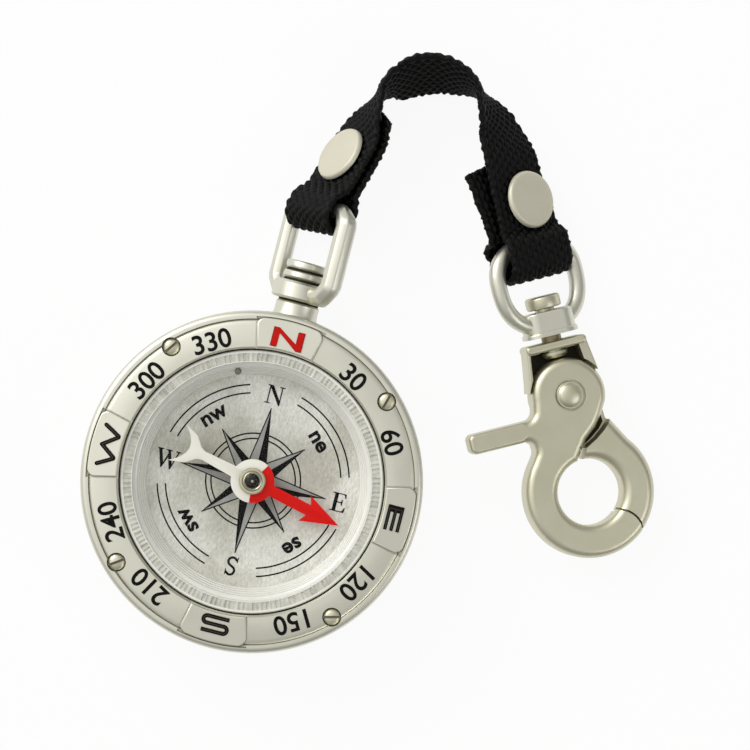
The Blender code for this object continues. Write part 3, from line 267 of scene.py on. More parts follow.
# %% Webbing
web_plastic = new_material("polypropylene webbing, black", specular_ior_level=0.15)
WEBBING, web_tree, _ = web_plastic
web_map = add_node(web_tree, "ShaderNodeUVMap", {"uv_map": "tape"}).outputs["UV"]
web_stretch = add_node(web_tree, "ShaderNodeMapping", {"Scale": (1.0, 0.12, 1.0)}, {"Vector": web_map})
surface(web_plastic, ("020202", "080807"), (0.12, 2.0, 0.5), (0.62, 0.4), depth_mm=0.05,
        place=web_stretch.outputs["Vector"])
print("Webbing ready")

# %% [markdown]
# ## Helpers for shapes
# Each piece is a bmesh that operators shape: spin turns a profile on the lathe, extrude and bevel make a
# plate with rounded rims, and a section is carried along a path for wire. Booleans join and cut solids as
# a foundry core or a drill would. Finishing a piece scales it to metres at the origin and gives it to a
# body of the frame.

# %% Shape helpers
SMOOTH = 160  # steps of the lathe for the wide rings, whose edges show


def turned(profile, steps=SMOOTH, along_y=False):
    """Revolves (radius, height) points round Z, or round Y. A profile clear of the axis is closed."""
    bm = bmesh.new()
    points = [bm.verts.new((r, 0.0, h)) for r, h in profile]
    edges = [bm.edges.new(pair) for pair in zip(points, points[1:])]
    if profile[0][0] > 0 or profile[-1][0] > 0:
        edges.append(bm.edges.new((points[-1], points[0])))
    bmesh.ops.spin(bm, geom=points + edges, cent=(0, 0, 0), axis=(0, 0, 1), dvec=(0, 0, 0),
                   angle=2 * math.pi, steps=steps, use_merge=True)
    bmesh.ops.remove_doubles(bm, verts=bm.verts, dist=1e-5)
    if along_y:
        bmesh.ops.rotate(bm, cent=(0, 0, 0), matrix=Matrix.Rotation(-math.pi / 2, 3, "X"), verts=bm.verts)
    return bm


def arc(centre, radius, start, end, steps):
    turn = [start + (end - start) * i / steps for i in range(steps + 1)]
    return [(centre[0] + radius * math.cos(a), centre[1] + radius * math.sin(a)) for a in turn]


def slabs(outlines, low, thick):
    """Outlines in XY made solid from one height up, side by side in one bmesh."""
    bm = bmesh.new()
    for outline in outlines:
        face = bm.faces.new([bm.verts.new((x, y, low)) for x, y in outline])
        grown = bmesh.ops.extrude_face_region(bm, geom=[face])["geom"]
        top = [g for g in grown if isinstance(g, bmesh.types.BMVert)]
        bmesh.ops.translate(bm, vec=(0, 0, thick), verts=top)
    return bm


def plate(outline, low, high, rounding=0.0, segments=5):
    """An outline in XY made solid between two heights, with its rims rounded."""
    bm = slabs([outline], low, high - low)
    bmesh.ops.recalc_face_normals(bm, faces=bm.faces)
    if rounding:
        rims = [e for e in bm.edges if abs(e.verts[0].co.z - e.verts[1].co.z) < 1e-6]
        bmesh.ops.bevel(bm, geom=rims, offset=rounding, segments=segments, profile=0.5, affect="EDGES",
                        material=-1, clamp_overlap=False)
    return bm


def round_bar(radius, low, high, steps=48, along_y=False):
    return turned([(0, low), (radius, low), (radius, high), (0, high)], steps, along_y)


def hoop(inner, outer, low, high, steps, along_y=False):
    """A ring with a rectangular section."""
    return turned([(inner, low), (outer, low), (outer, high), (inner, high)], steps, along_y)


def domed(radius, base, rise, angles):
    """Points on an ellipse at some angles, as a turned profile runs up over a low dome."""
    return [(radius * math.cos(a), base + rise * math.sin(a)) for a in angles]


def swept(section, frames, closed):
    """Carries a section outline through placement matrices, then caps the ends or closes the ring."""
    bm = bmesh.new()
    ring = [bm.verts.new(frames[0] @ Vector((x, y, 0))) for x, y in section]
    edges = [bm.edges.new((ring[i], ring[(i + 1) % len(ring)])) for i in range(len(ring))]
    first = list(edges)
    for before, after in zip(frames, frames[1:]):
        grown = bmesh.ops.extrude_edge_only(bm, edges=edges)["geom"]
        verts = [g for g in grown if isinstance(g, bmesh.types.BMVert)]
        edges = [g for g in grown if isinstance(g, bmesh.types.BMEdge)]
        edges = [e for e in edges if e.verts[0] in verts and e.verts[1] in verts]
        bmesh.ops.transform(bm, matrix=after @ before.inverted(), verts=verts)
    if closed:
        bmesh.ops.remove_doubles(bm, verts=bm.verts, dist=1e-4)
    else:
        bmesh.ops.contextual_create(bm, geom=first)
        bmesh.ops.contextual_create(bm, geom=edges)
    return bm


def placed(x_axis, y_axis, z_axis, origin):
    made = Matrix((x_axis, y_axis, z_axis)).transposed().to_4x4()
    made.translation = origin
    return made


def ring_frames(points, normal, sizes=None):
    """Placements along a closed flat path, mitred where it bends. The section's x runs across the path."""
    frames = []
    count = len(points)
    sizes = sizes or [1.0] * count
    for i in range(count):
        before = (points[i] - points[i - 1]).normalized()
        after = (points[(i + 1) % count] - points[i]).normalized()
        along = (before + after).normalized()
        across = along.cross(normal).normalized()
        stretch = 1 / max(0.3, along.dot(before))
        frames.append(placed(across * stretch * sizes[i], normal * sizes[i], along, points[i]))
    return frames + [frames[0]]


def put(bm, place):
    bmesh.ops.transform(bm, matrix=place, verts=bm.verts)
    return bm


def mesh_from(bm, name="scratch"):
    mesh = bpy.data.meshes.new(name)
    bm.to_mesh(mesh)
    bm.free()
    return mesh


def shown(data, name="scratch"):
    """A new object in the scene on a mesh, a text or a lamp."""
    made = bpy.data.objects.new(name, data)
    bpy.context.collection.objects.link(made)
    return made


def scratch_object(bm):
    bmesh.ops.recalc_face_normals(bm, faces=bm.faces)
    return shown(mesh_from(bm))


def combined(bm, steps, solver="EXACT"):
    """Joins or cuts a bmesh with others, each step a bmesh and its operation, and gives the result.

    MANIFOLD is quick and clean on closed solids. EXACT also copes with faces that lie on each other.
    """
    made = scratch_object(bm)
    tools = [scratch_object(tool) for tool, _ in steps]
    for tool, (_, operation) in zip(tools, steps):
        step = made.modifiers.new(operation, "BOOLEAN")
        step.operation = operation
        step.solver = solver
        step.object = tool
    graph = bpy.context.evaluated_depsgraph_get()
    mesh = bpy.data.meshes.new_from_object(made.evaluated_get(graph))
    result = bmesh.new()
    result.from_mesh(mesh)
    bpy.data.meshes.remove(mesh)
    for old in [made] + tools:
        data = old.data
        bpy.data.objects.remove(old)
        bpy.data.meshes.remove(data)
    bmesh.ops.remove_doubles(result, verts=result.verts, dist=1e-5)
    bmesh.ops.dissolve_limit(result, angle_limit=math.radians(0.2), verts=result.verts, edges=result.edges)
    return result


def finish_piece(name, bm, look, body, nodes=(), sharp=32.0, weld=1e-5, cast=False):
    """Scales a bmesh to metres at the origin, shades it, gives it its material and puts it on a body.

    A casting gets weighted normals, which keep its large flat faces flat beside its rounded rims.
    """
    bmesh.ops.remove_doubles(bm, verts=bm.verts, dist=weld)
    bmesh.ops.recalc_face_normals(bm, faces=bm.faces)
    bmesh.ops.scale(bm, vec=(MM, MM, MM), verts=bm.verts)
    mesh = mesh_from(bm, name)
    mesh.shade_smooth()
    mesh.set_sharp_from_angle(angle=math.radians(sharp))
    mesh.materials.append(look)
    made = shown(mesh, name)
    if cast:
        made.modifiers.new("weighted", "WEIGHTED_NORMAL").keep_sharp = True
    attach(made, body)
    if nodes:
        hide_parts(*nodes)
    print(f"{name}: {len(mesh.polygons)} faces")
    return made


print("Shape helpers ready")

# %% [markdown]
# ## Case
# The case is turned: a flat back with a rounded edge, a straight wall and a rounded lip round the bezel.
# The neck that carries the shackle is a stub on its side, flared where it runs into the wall, as the
# casting is. The back cover sits in a recess, and four screw holes are sunk at the corners of a square. The
# lip is cut back at four places, where the bezel's pads reach over it.

# %% Case body
CASE_R = 22.5
LIP_TOP = 12.0
LIP_WALL = 1.1
LIP_ROUND = 0.75
SHOULDER_Z = 10.0
COVER_R = 18.5
COVER_T = 1.2
LEDGE_Z = COVER_T + GAP + 2.2
LEDGE_INNER_R = 16.6
CAPSULE_R = 17.85
CAPSULE_BORE_R = CAPSULE_R + GAP
BEZEL_Z = SHOULDER_Z + GAP
BEZEL_T = 1.7
BEZEL_TOP = BEZEL_Z + BEZEL_T
BEZEL_R = CASE_R - LIP_WALL - 0.1
WINDOW_R = 17.5
NECK_Z = 6.6
NECK_R = 2.9
NECK_END_Y = 24.25
PIN_R = 1.2
SCREW_RING_R = 20.6
RECESS_R = 1.25
RECESS_DEPTH = 1.1
QUARTERS = [math.pi / 4 + i * math.pi / 2 for i in range(4)]


def screw_holes():
    holes = []
    for angle in QUARTERS:
        spot = Matrix.Rotation(angle, 4, "Z") @ Matrix.Translation((SCREW_RING_R, 0, 0))
        holes.append((put(round_bar(RECESS_R, BEZEL_TOP - RECESS_DEPTH, BEZEL_TOP + 2), spot), "DIFFERENCE"))
    return holes


BACK_ROUND = 1.8
lip_in = CASE_R - LIP_WALL
case_profile = [(COVER_R + GAP, 0.0)]
case_profile += arc((CASE_R - BACK_ROUND, BACK_ROUND), BACK_ROUND, -math.pi / 2, 0, 8)
case_profile += arc((CASE_R - LIP_ROUND, LIP_TOP - LIP_ROUND), LIP_ROUND, 0, math.pi / 2, 8)
case_profile += [(lip_in + 0.03, LIP_TOP), (lip_in, LIP_TOP - 0.03), (lip_in, SHOULDER_Z),
                 (CAPSULE_BORE_R, SHOULDER_Z), (CAPSULE_BORE_R, LEDGE_Z), (LEDGE_INNER_R, LEDGE_Z),
                 (LEDGE_INNER_R, COVER_T + GAP), (COVER_R + GAP, COVER_T + GAP)]
FLARE = 0.55
neck_profile = [(0, CASE_R - 1.6), (NECK_R + FLARE, CASE_R - 1.6), (NECK_R + FLARE, CASE_R - 0.45)]
neck_profile += [(NECK_R + FLARE * (1 - math.sin(a)), CASE_R - 0.45 + FLARE * (1 - math.cos(a)) * 1.5)
                 for a in (0.35, 0.7, 1.05, 1.4)]
neck_profile += [(NECK_R, NECK_END_Y - 0.2), (NECK_R - 0.2, NECK_END_Y), (0, NECK_END_Y)]
neck_start = Matrix.Translation((0, 0, NECK_Z))
neck = put(turned(neck_profile, 72, True), neck_start)
neck_bore = put(round_bar(PIN_R + GAP, 20.0, NECK_END_Y + 1, 48, True), neck_start)
NOTCH_R, NOTCH_HALF = 21.76, math.radians(12.5)
NOTCH_Z = SHOULDER_Z + 0.85
notches = []
for i in range(4):
    outline = arc((0, 0), NOTCH_R, -NOTCH_HALF, NOTCH_HALF, 24) + [(20.0, 4.3), (20.0, -4.3)]
    notch = plate(outline, NOTCH_Z, LIP_TOP + 1)
    notches.append((put(notch, Matrix.Rotation(math.pi / 2 * i, 4, "Z")), "DIFFERENCE"))
case_steps = [(neck, "UNION"), (neck_bore, "DIFFERENCE")] + notches + screw_holes()
case = combined(turned(case_profile, 192), case_steps, "MANIFOLD")
finish_piece("case_wall", case, CASE_NICKEL, "compass", ["case_body"])

# %% [markdown]
# ## Back cover
# The back is a flat disc pressed into its recess, with a shallow ring turned in its face.

# %% Back cover
cover_profile = [(0, 0), (13.6, 0), (13.8, 0.15), (14.2, 0.15), (14.4, 0), (COVER_R - GAP, 0), (COVER_R, GAP),
                 (COVER_R, COVER_T), (0, COVER_T)]
finish_piece("cover_disc", turned(cover_profile), CASE_NICKEL, "compass", ["back_cover"])

# %% [markdown]
# ## Bezel
# The bezel ring is slightly crowned. From its inner edge outwards it falls away more and more, so it catches
# a different light there. Four raised pads carry the main letters. Each pad is a plate bent to the ring's
# crown, and a narrow groove is left round it.

# %% Bezel ring with its pads
PAD_RISE = 0.4
PAD_HALF = math.radians(12.2)
PAD_CORNER = 1.1
PAD_OUT_R = 21.7
CROWN_START = 18.3
CROWN_DROP = 0.3


def crown(radius):
    """How far the bezel's face has fallen at a radius."""
    share = max(0.0, (radius - CROWN_START) / (BEZEL_R - CROWN_START))
    return CROWN_DROP * share ** 1.6


def crowned(bm, above):
    """Lets the face of a flat piece above a height fall away with the crown."""
    for vert in bm.verts:
        if vert.co.z > above:
            vert.co.z -= crown(math.hypot(vert.co.x, vert.co.y))
    return bm


def pad_outline(grow):
    inner, outer, half = WINDOW_R + 0.12 - grow, PAD_OUT_R + grow, PAD_HALF + grow / 19.5
    bend = outer - PAD_CORNER
    turn = PAD_CORNER / outer
    high = (bend * math.cos(half - turn), bend * math.sin(half - turn))
    outline = arc((0, 0), inner, half, -half, 16)
    outline += arc((high[0], -high[1]), PAD_CORNER, -math.pi / 2 - half * 0.6, -half, 8)
    outline += arc((0, 0), outer, -half + turn, half - turn, 16)[1:-1]
    outline += arc(high, PAD_CORNER, half, math.pi / 2 + half * 0.6, 8)
    return outline


face_radii = [WINDOW_R + 0.25, 17.95, CROWN_START] + [CROWN_START + (BEZEL_R - 0.2 - CROWN_START) * i / 6
                                                    for i in range(1, 7)]
bezel_profile = [(WINDOW_R, BEZEL_Z), (BEZEL_R, BEZEL_Z), (BEZEL_R, BEZEL_TOP - CROWN_DROP - 0.07)]
bezel_profile += [(r, BEZEL_TOP - crown(r)) for r in reversed(face_radii)]
bezel_profile += [(WINDOW_R, BEZEL_TOP - 0.25)]
bezel_steps = []
for i in range(4):
    turn = Matrix.Rotation(math.pi / 2 * (i + 1), 4, "Z")
    groove = crowned(plate(pad_outline(0.13), BEZEL_TOP - 0.25, BEZEL_TOP + 2), 0)
    pad = crowned(plate(pad_outline(0.0), BEZEL_Z + 0.6, BEZEL_TOP + PAD_RISE, 0.25, 4), BEZEL_Z + 0.8)
    bezel_steps += [(put(groove, turn), "DIFFERENCE"), (put(pad, turn), "UNION")]
bezel = combined(turned(bezel_profile, 192), bezel_steps + screw_holes())
finish_piece("bezel_face", bezel, CASE_NICKEL, "compass", ["bezel_ring"], cast=True)

# %% [markdown]
# ## Bezel screws
# Four slotted screws with low domed heads hold the bezel. The head is turned on the lathe, and its slot is
# a narrow box cut across it. The shade in the slots, round the heads and in the seam round the bezel is
# painted: thin pieces of a duller metal, which stay dark in any light.

# %% Screws
SCREW_HEAD_R = 1.12
SCREW_HEAD_H = 0.8
SCREW_DOME = 0.42
SLOT_W, SLOT_DEPTH = 0.34, 0.34
head_z = BEZEL_TOP - RECESS_DEPTH + GAP * 0.5
slot_shades = []
for i, angle in enumerate(QUARTERS):
    profile = [(0, head_z - 3.4), (0.6, head_z - 3.4), (0.6, head_z), (SCREW_HEAD_R, head_z)]
    profile += domed(SCREW_HEAD_R, head_z + SCREW_HEAD_H - SCREW_DOME, SCREW_DOME,
                     (0.0, 0.25, 0.5, 0.8, 1.05, 1.25, 1.4)) + [(0, head_z + SCREW_HEAD_H)]
    slot_floor = head_z + SCREW_HEAD_H - SLOT_DEPTH
    slot_turn = Matrix.Rotation(math.radians(30 + 70 * i), 4, "Z")
    slot_box = bmesh.new()
    bmesh.ops.create_cube(slot_box, size=1.0, matrix=Matrix.Diagonal((4.0, SLOT_W, 1.0, 1.0)))
    put(slot_box, Matrix.Translation((0, 0, slot_floor + 0.5)) @ slot_turn)
    screw = combined(turned(profile, 48), [(slot_box, "DIFFERENCE")])
    stand = Matrix.Rotation(angle, 4, "Z") @ Matrix.Translation((SCREW_RING_R, 0, 0))
    put(screw, stand)
    # painted shade: a thin dark bar on the floor of each slot
    strip = Matrix.Diagonal((SCREW_HEAD_R * 1.9, SLOT_W - 0.02, 0.04, 1.0))
    slot_shade_bar = bmesh.new()
    bmesh.ops.create_cube(slot_shade_bar, size=1.0, matrix=strip)
    slot_shades.append(put(slot_shade_bar, stand @ Matrix.Translation((0, 0, slot_floor + 0.03)) @ slot_turn))
    # painted shade: a dark ring on the floor of the recess round each head
    recess_floor = head_z - GAP * 0.5
    recess_shade_ring = hoop(SCREW_HEAD_R - 0.2, RECESS_R - 0.02, recess_floor + 0.02, recess_floor + 0.1, 40)
    slot_shades.append(put(recess_shade_ring, stand))
    finish_piece(f"screw_{i + 1}", screw, SATIN_NICKEL, "compass", [f"bezel_screw_{i + 1}"])


def merged(parts):
    """Several bmeshes as one."""
    whole = bmesh.new()
    for part in parts:
        mesh = mesh_from(part)
        whole.from_mesh(mesh)
        bpy.data.meshes.remove(mesh)
    return whole


# painted shade: a dark ring down in the seam between the bezel and the lip
seam = hoop(BEZEL_R - 0.02, lip_in + 0.02, BEZEL_TOP - 1.0, BEZEL_TOP - 0.42, SMOOTH)
finish_piece("screw_slot_shade", merged(slot_shades), SLOT_SHADE, "compass")
finish_piece("bezel_seam_shade", seam, SLOT_SHADE, "compass")

# %% [markdown]
# ## Capsule
# The capsule holds the liquid, the dial and the needle. Its bowl has a step for the lens and a wall that
# comes down to the dial in shallow terraces, which give the faint rings of light. A groove in its rim holds
# a band of fine ribs. The band is turned with four steps a rib, and two of each four are pressed in, some
# deeper than others. A small steel plug closes the hole that the liquid was filled through.

# %% Bowl, lens and seal
CAPSULE_Z = LEDGE_Z + GAP
FLOOR_Z = CAPSULE_Z + 1.2
CAPSULE_TOP = BEZEL_TOP - 0.7
SEAT_R = 15.7
RIBS = 168
LENS_T = 0.9
GASKET_TOP = BEZEL_Z - GAP
RIM_R = 17.32
FLANGE_TOP = GASKET_TOP - 0.7
step_z = CAPSULE_TOP - LENS_T - GAP
RIB_IN, RIB_OUT, RIB_GROOVE = 15.85, 16.9, 0.6
DIAL_TOP = FLOOR_Z + GAP + 0.4
WALL_LOW, WALL_HIGH = (14.15, DIAL_TOP + 0.12), (15.25, step_z - 0.1)
TERRACES = 5
wall = []
for k in range(TERRACES):
    near = [WALL_HIGH[n] + (WALL_LOW[n] - WALL_HIGH[n]) * k / TERRACES for n in (0, 1)]
    far = [WALL_HIGH[n] + (WALL_LOW[n] - WALL_HIGH[n]) * (k + 1) / TERRACES for n in (0, 1)]
    wall += [(near[0], near[1]), (near[0] - 0.09, near[1] - 0.03), (far[0] + 0.02, far[1] + 0.06)]
bowl_profile = [(0, CAPSULE_Z), (CAPSULE_R, CAPSULE_Z), (CAPSULE_R, FLANGE_TOP), (RIM_R, FLANGE_TOP),
                (RIM_R, CAPSULE_TOP - 0.2), (RIM_R - 0.15, CAPSULE_TOP), (RIB_OUT, CAPSULE_TOP),
                (RIB_OUT, CAPSULE_TOP - RIB_GROOVE), (RIB_IN, CAPSULE_TOP - RIB_GROOVE),
                (RIB_IN, CAPSULE_TOP), (SEAT_R + 0.05, CAPSULE_TOP), (SEAT_R, CAPSULE_TOP - 0.1),
                (SEAT_R - 0.05, step_z), (15.35, step_z)]
bowl_profile += wall + [WALL_LOW, (14.2, DIAL_TOP + 0.03), (14.42, DIAL_TOP + 0.03), (14.42, FLOOR_Z),
                        (0, FLOOR_Z)]
bowl = turned(bowl_profile, 240)
finish_piece("capsule_shell", bowl, FROSTED, "compass", ["capsule_bowl"], sharp=50)

ribs = hoop(RIB_IN, RIB_OUT, CAPSULE_TOP - RIB_GROOVE, CAPSULE_TOP - 0.02, RIBS * 4)
for vert in ribs.verts:
    step = round(math.atan2(vert.co.y, vert.co.x) / (2 * math.pi) * RIBS * 4) % (RIBS * 4)
    pressed = step % 4 in (0, 1)
    if vert.co.z > CAPSULE_TOP - 0.1 and pressed:
        vert.co.z -= 0.06 + 0.16 * (step // 4 * 7 % 11) / 11
finish_piece("capsule_ribs", ribs, RIBBED, "compass", ["capsule_bowl"], sharp=30)

PLUG_X, PLUG_Y, PLUG_RISE = -5.38, 13.6, 3.1
plug_spot = Matrix.Translation((PLUG_X, PLUG_Y, WALL_LOW[1] + PLUG_RISE))
plug = turned([(0, -0.45), (0.25, -0.4), (0.42, -0.2), (0.46, 0.0), (0.42, 0.2), (0.3, 0.32), (0.2, 0.33),
               (0.15, 0.15), (0, 0.15)], 32)
finish_piece("filling_plug", put(plug, plug_spot), SPRING_STEEL, "compass")

lens_r = SEAT_R - GAP
lens_profile = [(0, CAPSULE_TOP - LENS_T), (lens_r, CAPSULE_TOP - LENS_T), (lens_r, CAPSULE_TOP - 0.3)]
lens_profile += arc((lens_r - 0.3, CAPSULE_TOP - 0.3), 0.3, 0.3, math.pi / 2, 4)
lens_profile += [(0, CAPSULE_TOP)]
finish_piece("lens_disc", turned(lens_profile), LENS, "compass", ["capsule_lens"])

seal = hoop(WINDOW_R - 0.15, WINDOW_R + 0.4, GASKET_TOP - 0.5, GASKET_TOP, SMOOTH)
finish_piece("seal_ring", seal, RUBBER, "compass", ["lens_gasket"])

# %% [markdown]
# ## Dial
# The dial is a flat disc with a hole for the pin. It keeps its CAD size and gets a smooth rim.

# %% Dial plate and pin
DIAL_Z = FLOOR_Z + GAP
DIAL_R, DIAL_HOLE_R, DIAL_EDGE = 14.3, 1.2, 0.08
dial_profile = [(DIAL_HOLE_R, DIAL_Z), (DIAL_R, DIAL_Z), (DIAL_R, DIAL_TOP - DIAL_EDGE),
                (DIAL_R - DIAL_EDGE, DIAL_TOP), (DIAL_HOLE_R, DIAL_TOP)]
finish_piece("dial_disc", turned(dial_profile), DIAL_SILVER, "compass", ["dial_plate"])

PIN_TIP_Z = DIAL_Z + 2.7
PIN_FOOT_R = 0.9
pin_profile = [(0, DIAL_Z), (PIN_FOOT_R, DIAL_Z), (PIN_FOOT_R, DIAL_Z + 1.0), (0.36, DIAL_Z + 1.5),
               (0.1, PIN_TIP_Z - 0.1), (0, PIN_TIP_Z)]
finish_piece("centre_pin", turned(pin_profile, 32), DARK_BRASS, "compass", ["pivot_pin"])

# %% [markdown]
# ## Ink on the dial
# Printing is a film of ink, so each mark is a thin plate that stands a few hundredths of a millimetre proud.
# A mark is drawn as an outline, and all the marks of one colour become one piece. An even line is one
# outline with mitred joints. A letter with sharp turns is drawn with straight strokes that have round ends.

# %% Print helpers
INK_T = 0.03


def ring_band(radius, width, start, end, steps):
    """A band along an arc, as one outline."""
    outer = arc((0, 0), radius + width / 2, start, end, steps)
    inner = arc((0, 0), radius - width / 2, end, start, steps)
    return outer + inner


def stroke(points, width):
    """An even line through points as one outline, its joints mitred."""
    path = [Vector(p) for p in points]
    ways = [(after - before).normalized() for before, after in zip(path, path[1:])]
    left, right = [], []
    for point, one, two in zip(path, ways[:1] + ways, ways + ways[-1:]):
        mid = (one + two).normalized()
        side = Vector((-mid.y, mid.x)) * width / 2 / max(0.35, mid.dot(one))
        left.append(point + side)
        right.append(point - side)
    return [tuple(p) for p in left] + [tuple(p) for p in reversed(right)]


def pen_lines(points, width):
    """Straight strokes with round ends between points, one outline each."""
    outlines = []
    for one, two in zip(points, points[1:]):
        heading = math.atan2(two[1] - one[1], two[0] - one[0])
        outlines.append(arc(two, width / 2, heading - math.pi / 2, heading + math.pi / 2, 8)
                        + arc(one, width / 2, heading + math.pi / 2, heading + 1.5 * math.pi, 8))
    return outlines


def moved(outline, place):
    """An outline in XY carried through a placement matrix."""
    return [tuple((place @ Vector((x, y, 0))).xy) for x, y in outline]


print(f"Ink is {INK_T} mm thick")

# %% [markdown]
# ## Compass rose
# A traditional rose has eight points, each split down its middle into a dark and a light half with a fine
# outline. The main points reach further than the others. Two thin circles run behind them, and each quarter
# of the dial has a pair of thin arcs near its edge.

# %% Rose and arcs
def rose_point(angle, reach, waist, waist_at):
    """Both halves of one point: its tip, its waist on one side and the centre."""
    turn = Matrix.Rotation(-angle, 4, "Z")
    dark = [(0.0, 0.4), (waist, waist_at), (0.0, reach)]
    light = [(0.0, reach), (-waist, waist_at), (0.0, 0.4)]
    return moved(dark, turn), moved(light, turn)


black_marks, grey_marks = [], []
for k in range(4):
    for angle, reach, waist, waist_at in ((k * math.pi / 2, 9.9, 1.25, 2.2),
                                          (k * math.pi / 2 + math.pi / 4, 8.0, 1.15, 2.1)):
        dark, light = rose_point(angle, reach, waist, waist_at)
        black_marks.append(dark)
        grey_marks.append(light)
        black_marks.append(stroke(light[:2], 0.16))
print(len(black_marks), "dark marks and", len(grey_marks), "grey ones")
LINE_W = 0.2
ARC_START, ARC_END = math.radians(16), math.radians(74)
dial_bands = []
for quarter in (k * math.pi / 2 for k in range(4)):
    dial_bands += [ring_band(r, LINE_W, quarter, quarter + math.pi / 2, 24) for r in (6.3, 5.6)]
    dial_bands += [ring_band(r, LINE_W, quarter + ARC_START, quarter + ARC_END, 24) for r in (12.75, 11.65)]
INK_OVER, INK_UNDER = 0.008, 0.015  # one ink lies on another where they cross
finish_piece("rose_grey", slabs(grey_marks, DIAL_TOP, INK_T), GREY_INK, "compass")
finish_piece("rose_black", slabs(black_marks, DIAL_TOP + INK_OVER, INK_T), BLACK_INK, "compass")
finish_piece("dial_lines", slabs(dial_bands, DIAL_TOP - INK_UNDER, INK_T), BLACK_INK, "compass")

# %% [markdown]
# ## Numbers on the bezel
# The numbers are set in Blender's own font, made a mesh, then turned to their places on the crowned face.

# %% Numbers
def text_bmesh(text, height, weight, thick, wide=1.0):
    """A word in Blender's font as a bmesh in mm: its capital height, its extra stroke weight, its depth."""
    data = bpy.data.curves.new("scratch_text", "FONT")
    data.body = text
    data.align_x = "CENTER"
    data.size = 1.0
    data.offset = weight
    data.extrude = thick / height / 2
    data.resolution_u = 6
    holder = shown(data)
    graph = bpy.context.evaluated_depsgraph_get()
    mesh = bpy.data.meshes.new_from_object(holder.evaluated_get(graph))
    bm = bmesh.new()
    bm.from_mesh(mesh)
    bpy.data.objects.remove(holder)
    bpy.data.curves.remove(data)
    bpy.data.meshes.remove(mesh)
    bmesh.ops.remove_doubles(bm, verts=bm.verts, dist=1e-4)
    left, right = (limit(v.co.x for v in bm.verts) for limit in (min, max))
    low, high = (limit(v.co.y for v in bm.verts) for limit in (min, max))
    scale = height / (high - low)
    middle = Vector((-(left + right) / 2, -(low + high) / 2, 0))
    bmesh.ops.translate(bm, vec=middle, verts=bm.verts)
    bmesh.ops.scale(bm, vec=(scale * wide, scale, scale), verts=bm.verts)
    return bm


NUMBER_R = 19.15
CROWN_SLOPE = math.atan2(crown(NUMBER_R + 0.9) - crown(NUMBER_R - 0.9), 1.8)


def on_crown(degrees, radius, face_z):
    """A place on the bezel's crowned face at a bearing and a radius."""
    stand = Matrix.Rotation(-math.radians(degrees), 4, "Z")
    stand = stand @ Matrix.Translation((0, radius, face_z - crown(radius)))
    return stand @ Matrix.Rotation(-CROWN_SLOPE, 4, "X")


NUMBER_H, NUMBER_WEIGHT, NUMBER_T = 2.6, 0.016, 0.05
numbers = [put(text_bmesh(str(degrees), NUMBER_H, NUMBER_WEIGHT, NUMBER_T),
               on_crown(degrees, NUMBER_R, BEZEL_TOP + 0.01))
           for degrees in (30, 60, 120, 150, 210, 240, 300, 330)]
finish_piece("bezel_numbers", merged(numbers), BLACK_PAINT, "compass", sharp=40)

# %% [markdown]
# ## Letters on the pads
# The pad letters are wide and square, so they are drawn as outlines and pen strokes. A paler line along the
# middle of each black one is a painted highlight, and a darker rim shows under the red one.

# %% Pad letters
N_OUTLINE = [(-2.02, -1.21), (-2.02, 1.21), (-1.25, 1.21), (1.16, -0.35), (1.16, 1.21), (2.02, 1.21),
             (2.02, -1.21), (1.25, -1.21), (-1.2, 0.59), (-1.2, -1.21)]
E_OUTLINE = [(-1.68, -1.06), (-1.68, 1.06), (1.68, 1.06), (1.68, 0.61), (-0.78, 0.61), (-0.78, 0.22),
             (1.68, 0.22), (1.68, -0.22), (-0.78, -0.22), (-0.78, -0.61), (1.68, -0.61), (1.68, -1.06)]
S_BOW = 0.48
S_PATH = [(1.7, 2 * S_BOW), (-1.2, 2 * S_BOW)] + arc((-1.2, S_BOW), S_BOW, math.pi / 2, 1.5 * math.pi, 10)[1:]
S_PATH += [(1.2, 0.0)] + arc((1.2, -S_BOW), S_BOW, math.pi / 2, -math.pi / 2, 10)[1:] + [(-1.7, -2 * S_BOW)]
W_PATH = [(-2.6, 1.0), (-1.5, -0.95), (-1.36, -0.95), (0.0, 0.95), (1.36, -0.95), (1.5, -0.95), (2.6, 1.0)]
E_SPINE = [[(1.5, 0.835), (-1.23, 0.835), (-1.23, -0.835), (1.5, -0.835)], [(1.5, 0.0), (-1.1, 0.0)]]
PAD_Z = BEZEL_TOP + PAD_RISE
PAD_LETTERS = (("N", 0, RED_PAINT, [N_OUTLINE]), ("E", 90, BLACK_PAINT, [E_OUTLINE]),
               ("S", 180, BLACK_PAINT, [stroke(S_PATH, 0.52)]),
               ("W", 270, BLACK_PAINT, pen_lines(W_PATH, 0.54)))
INLINES = {"E": E_SPINE, "S": [S_PATH], "W": [W_PATH]}
INLINE_W, EDGE_W = 0.09, 0.09
for letter, degrees, look, outlines in PAD_LETTERS:
    stand = on_crown(degrees, NUMBER_R + 0.1, PAD_Z - 0.005)
    finish_piece(f"pad_letter_{letter}", put(slabs(outlines, 0.02, 0.04), stand), look, "compass")
    if letter in INLINES:
        # painted highlight: a paler line along the middle of each stroke
        thin = slabs([bar for line in INLINES[letter] for bar in pen_lines(line, INLINE_W)], 0.025, 0.045)
        finish_piece(f"pad_letter_{letter}_highlight", put(thin, stand), HIGHLIGHT_PAINT, "compass")
    if letter == "N":
        wider = [(x + math.copysign(EDGE_W, x), y + math.copysign(EDGE_W, y)) for x, y in N_OUTLINE]
        finish_piece("pad_letter_edge", put(slabs([wider], 0.0, 0.04), stand), RED_EDGE, "compass")

# %% [markdown]
# ## Letters on the dial
# The four main letters have serifs and are drawn as outlines. The small words between them are set in the
# font.

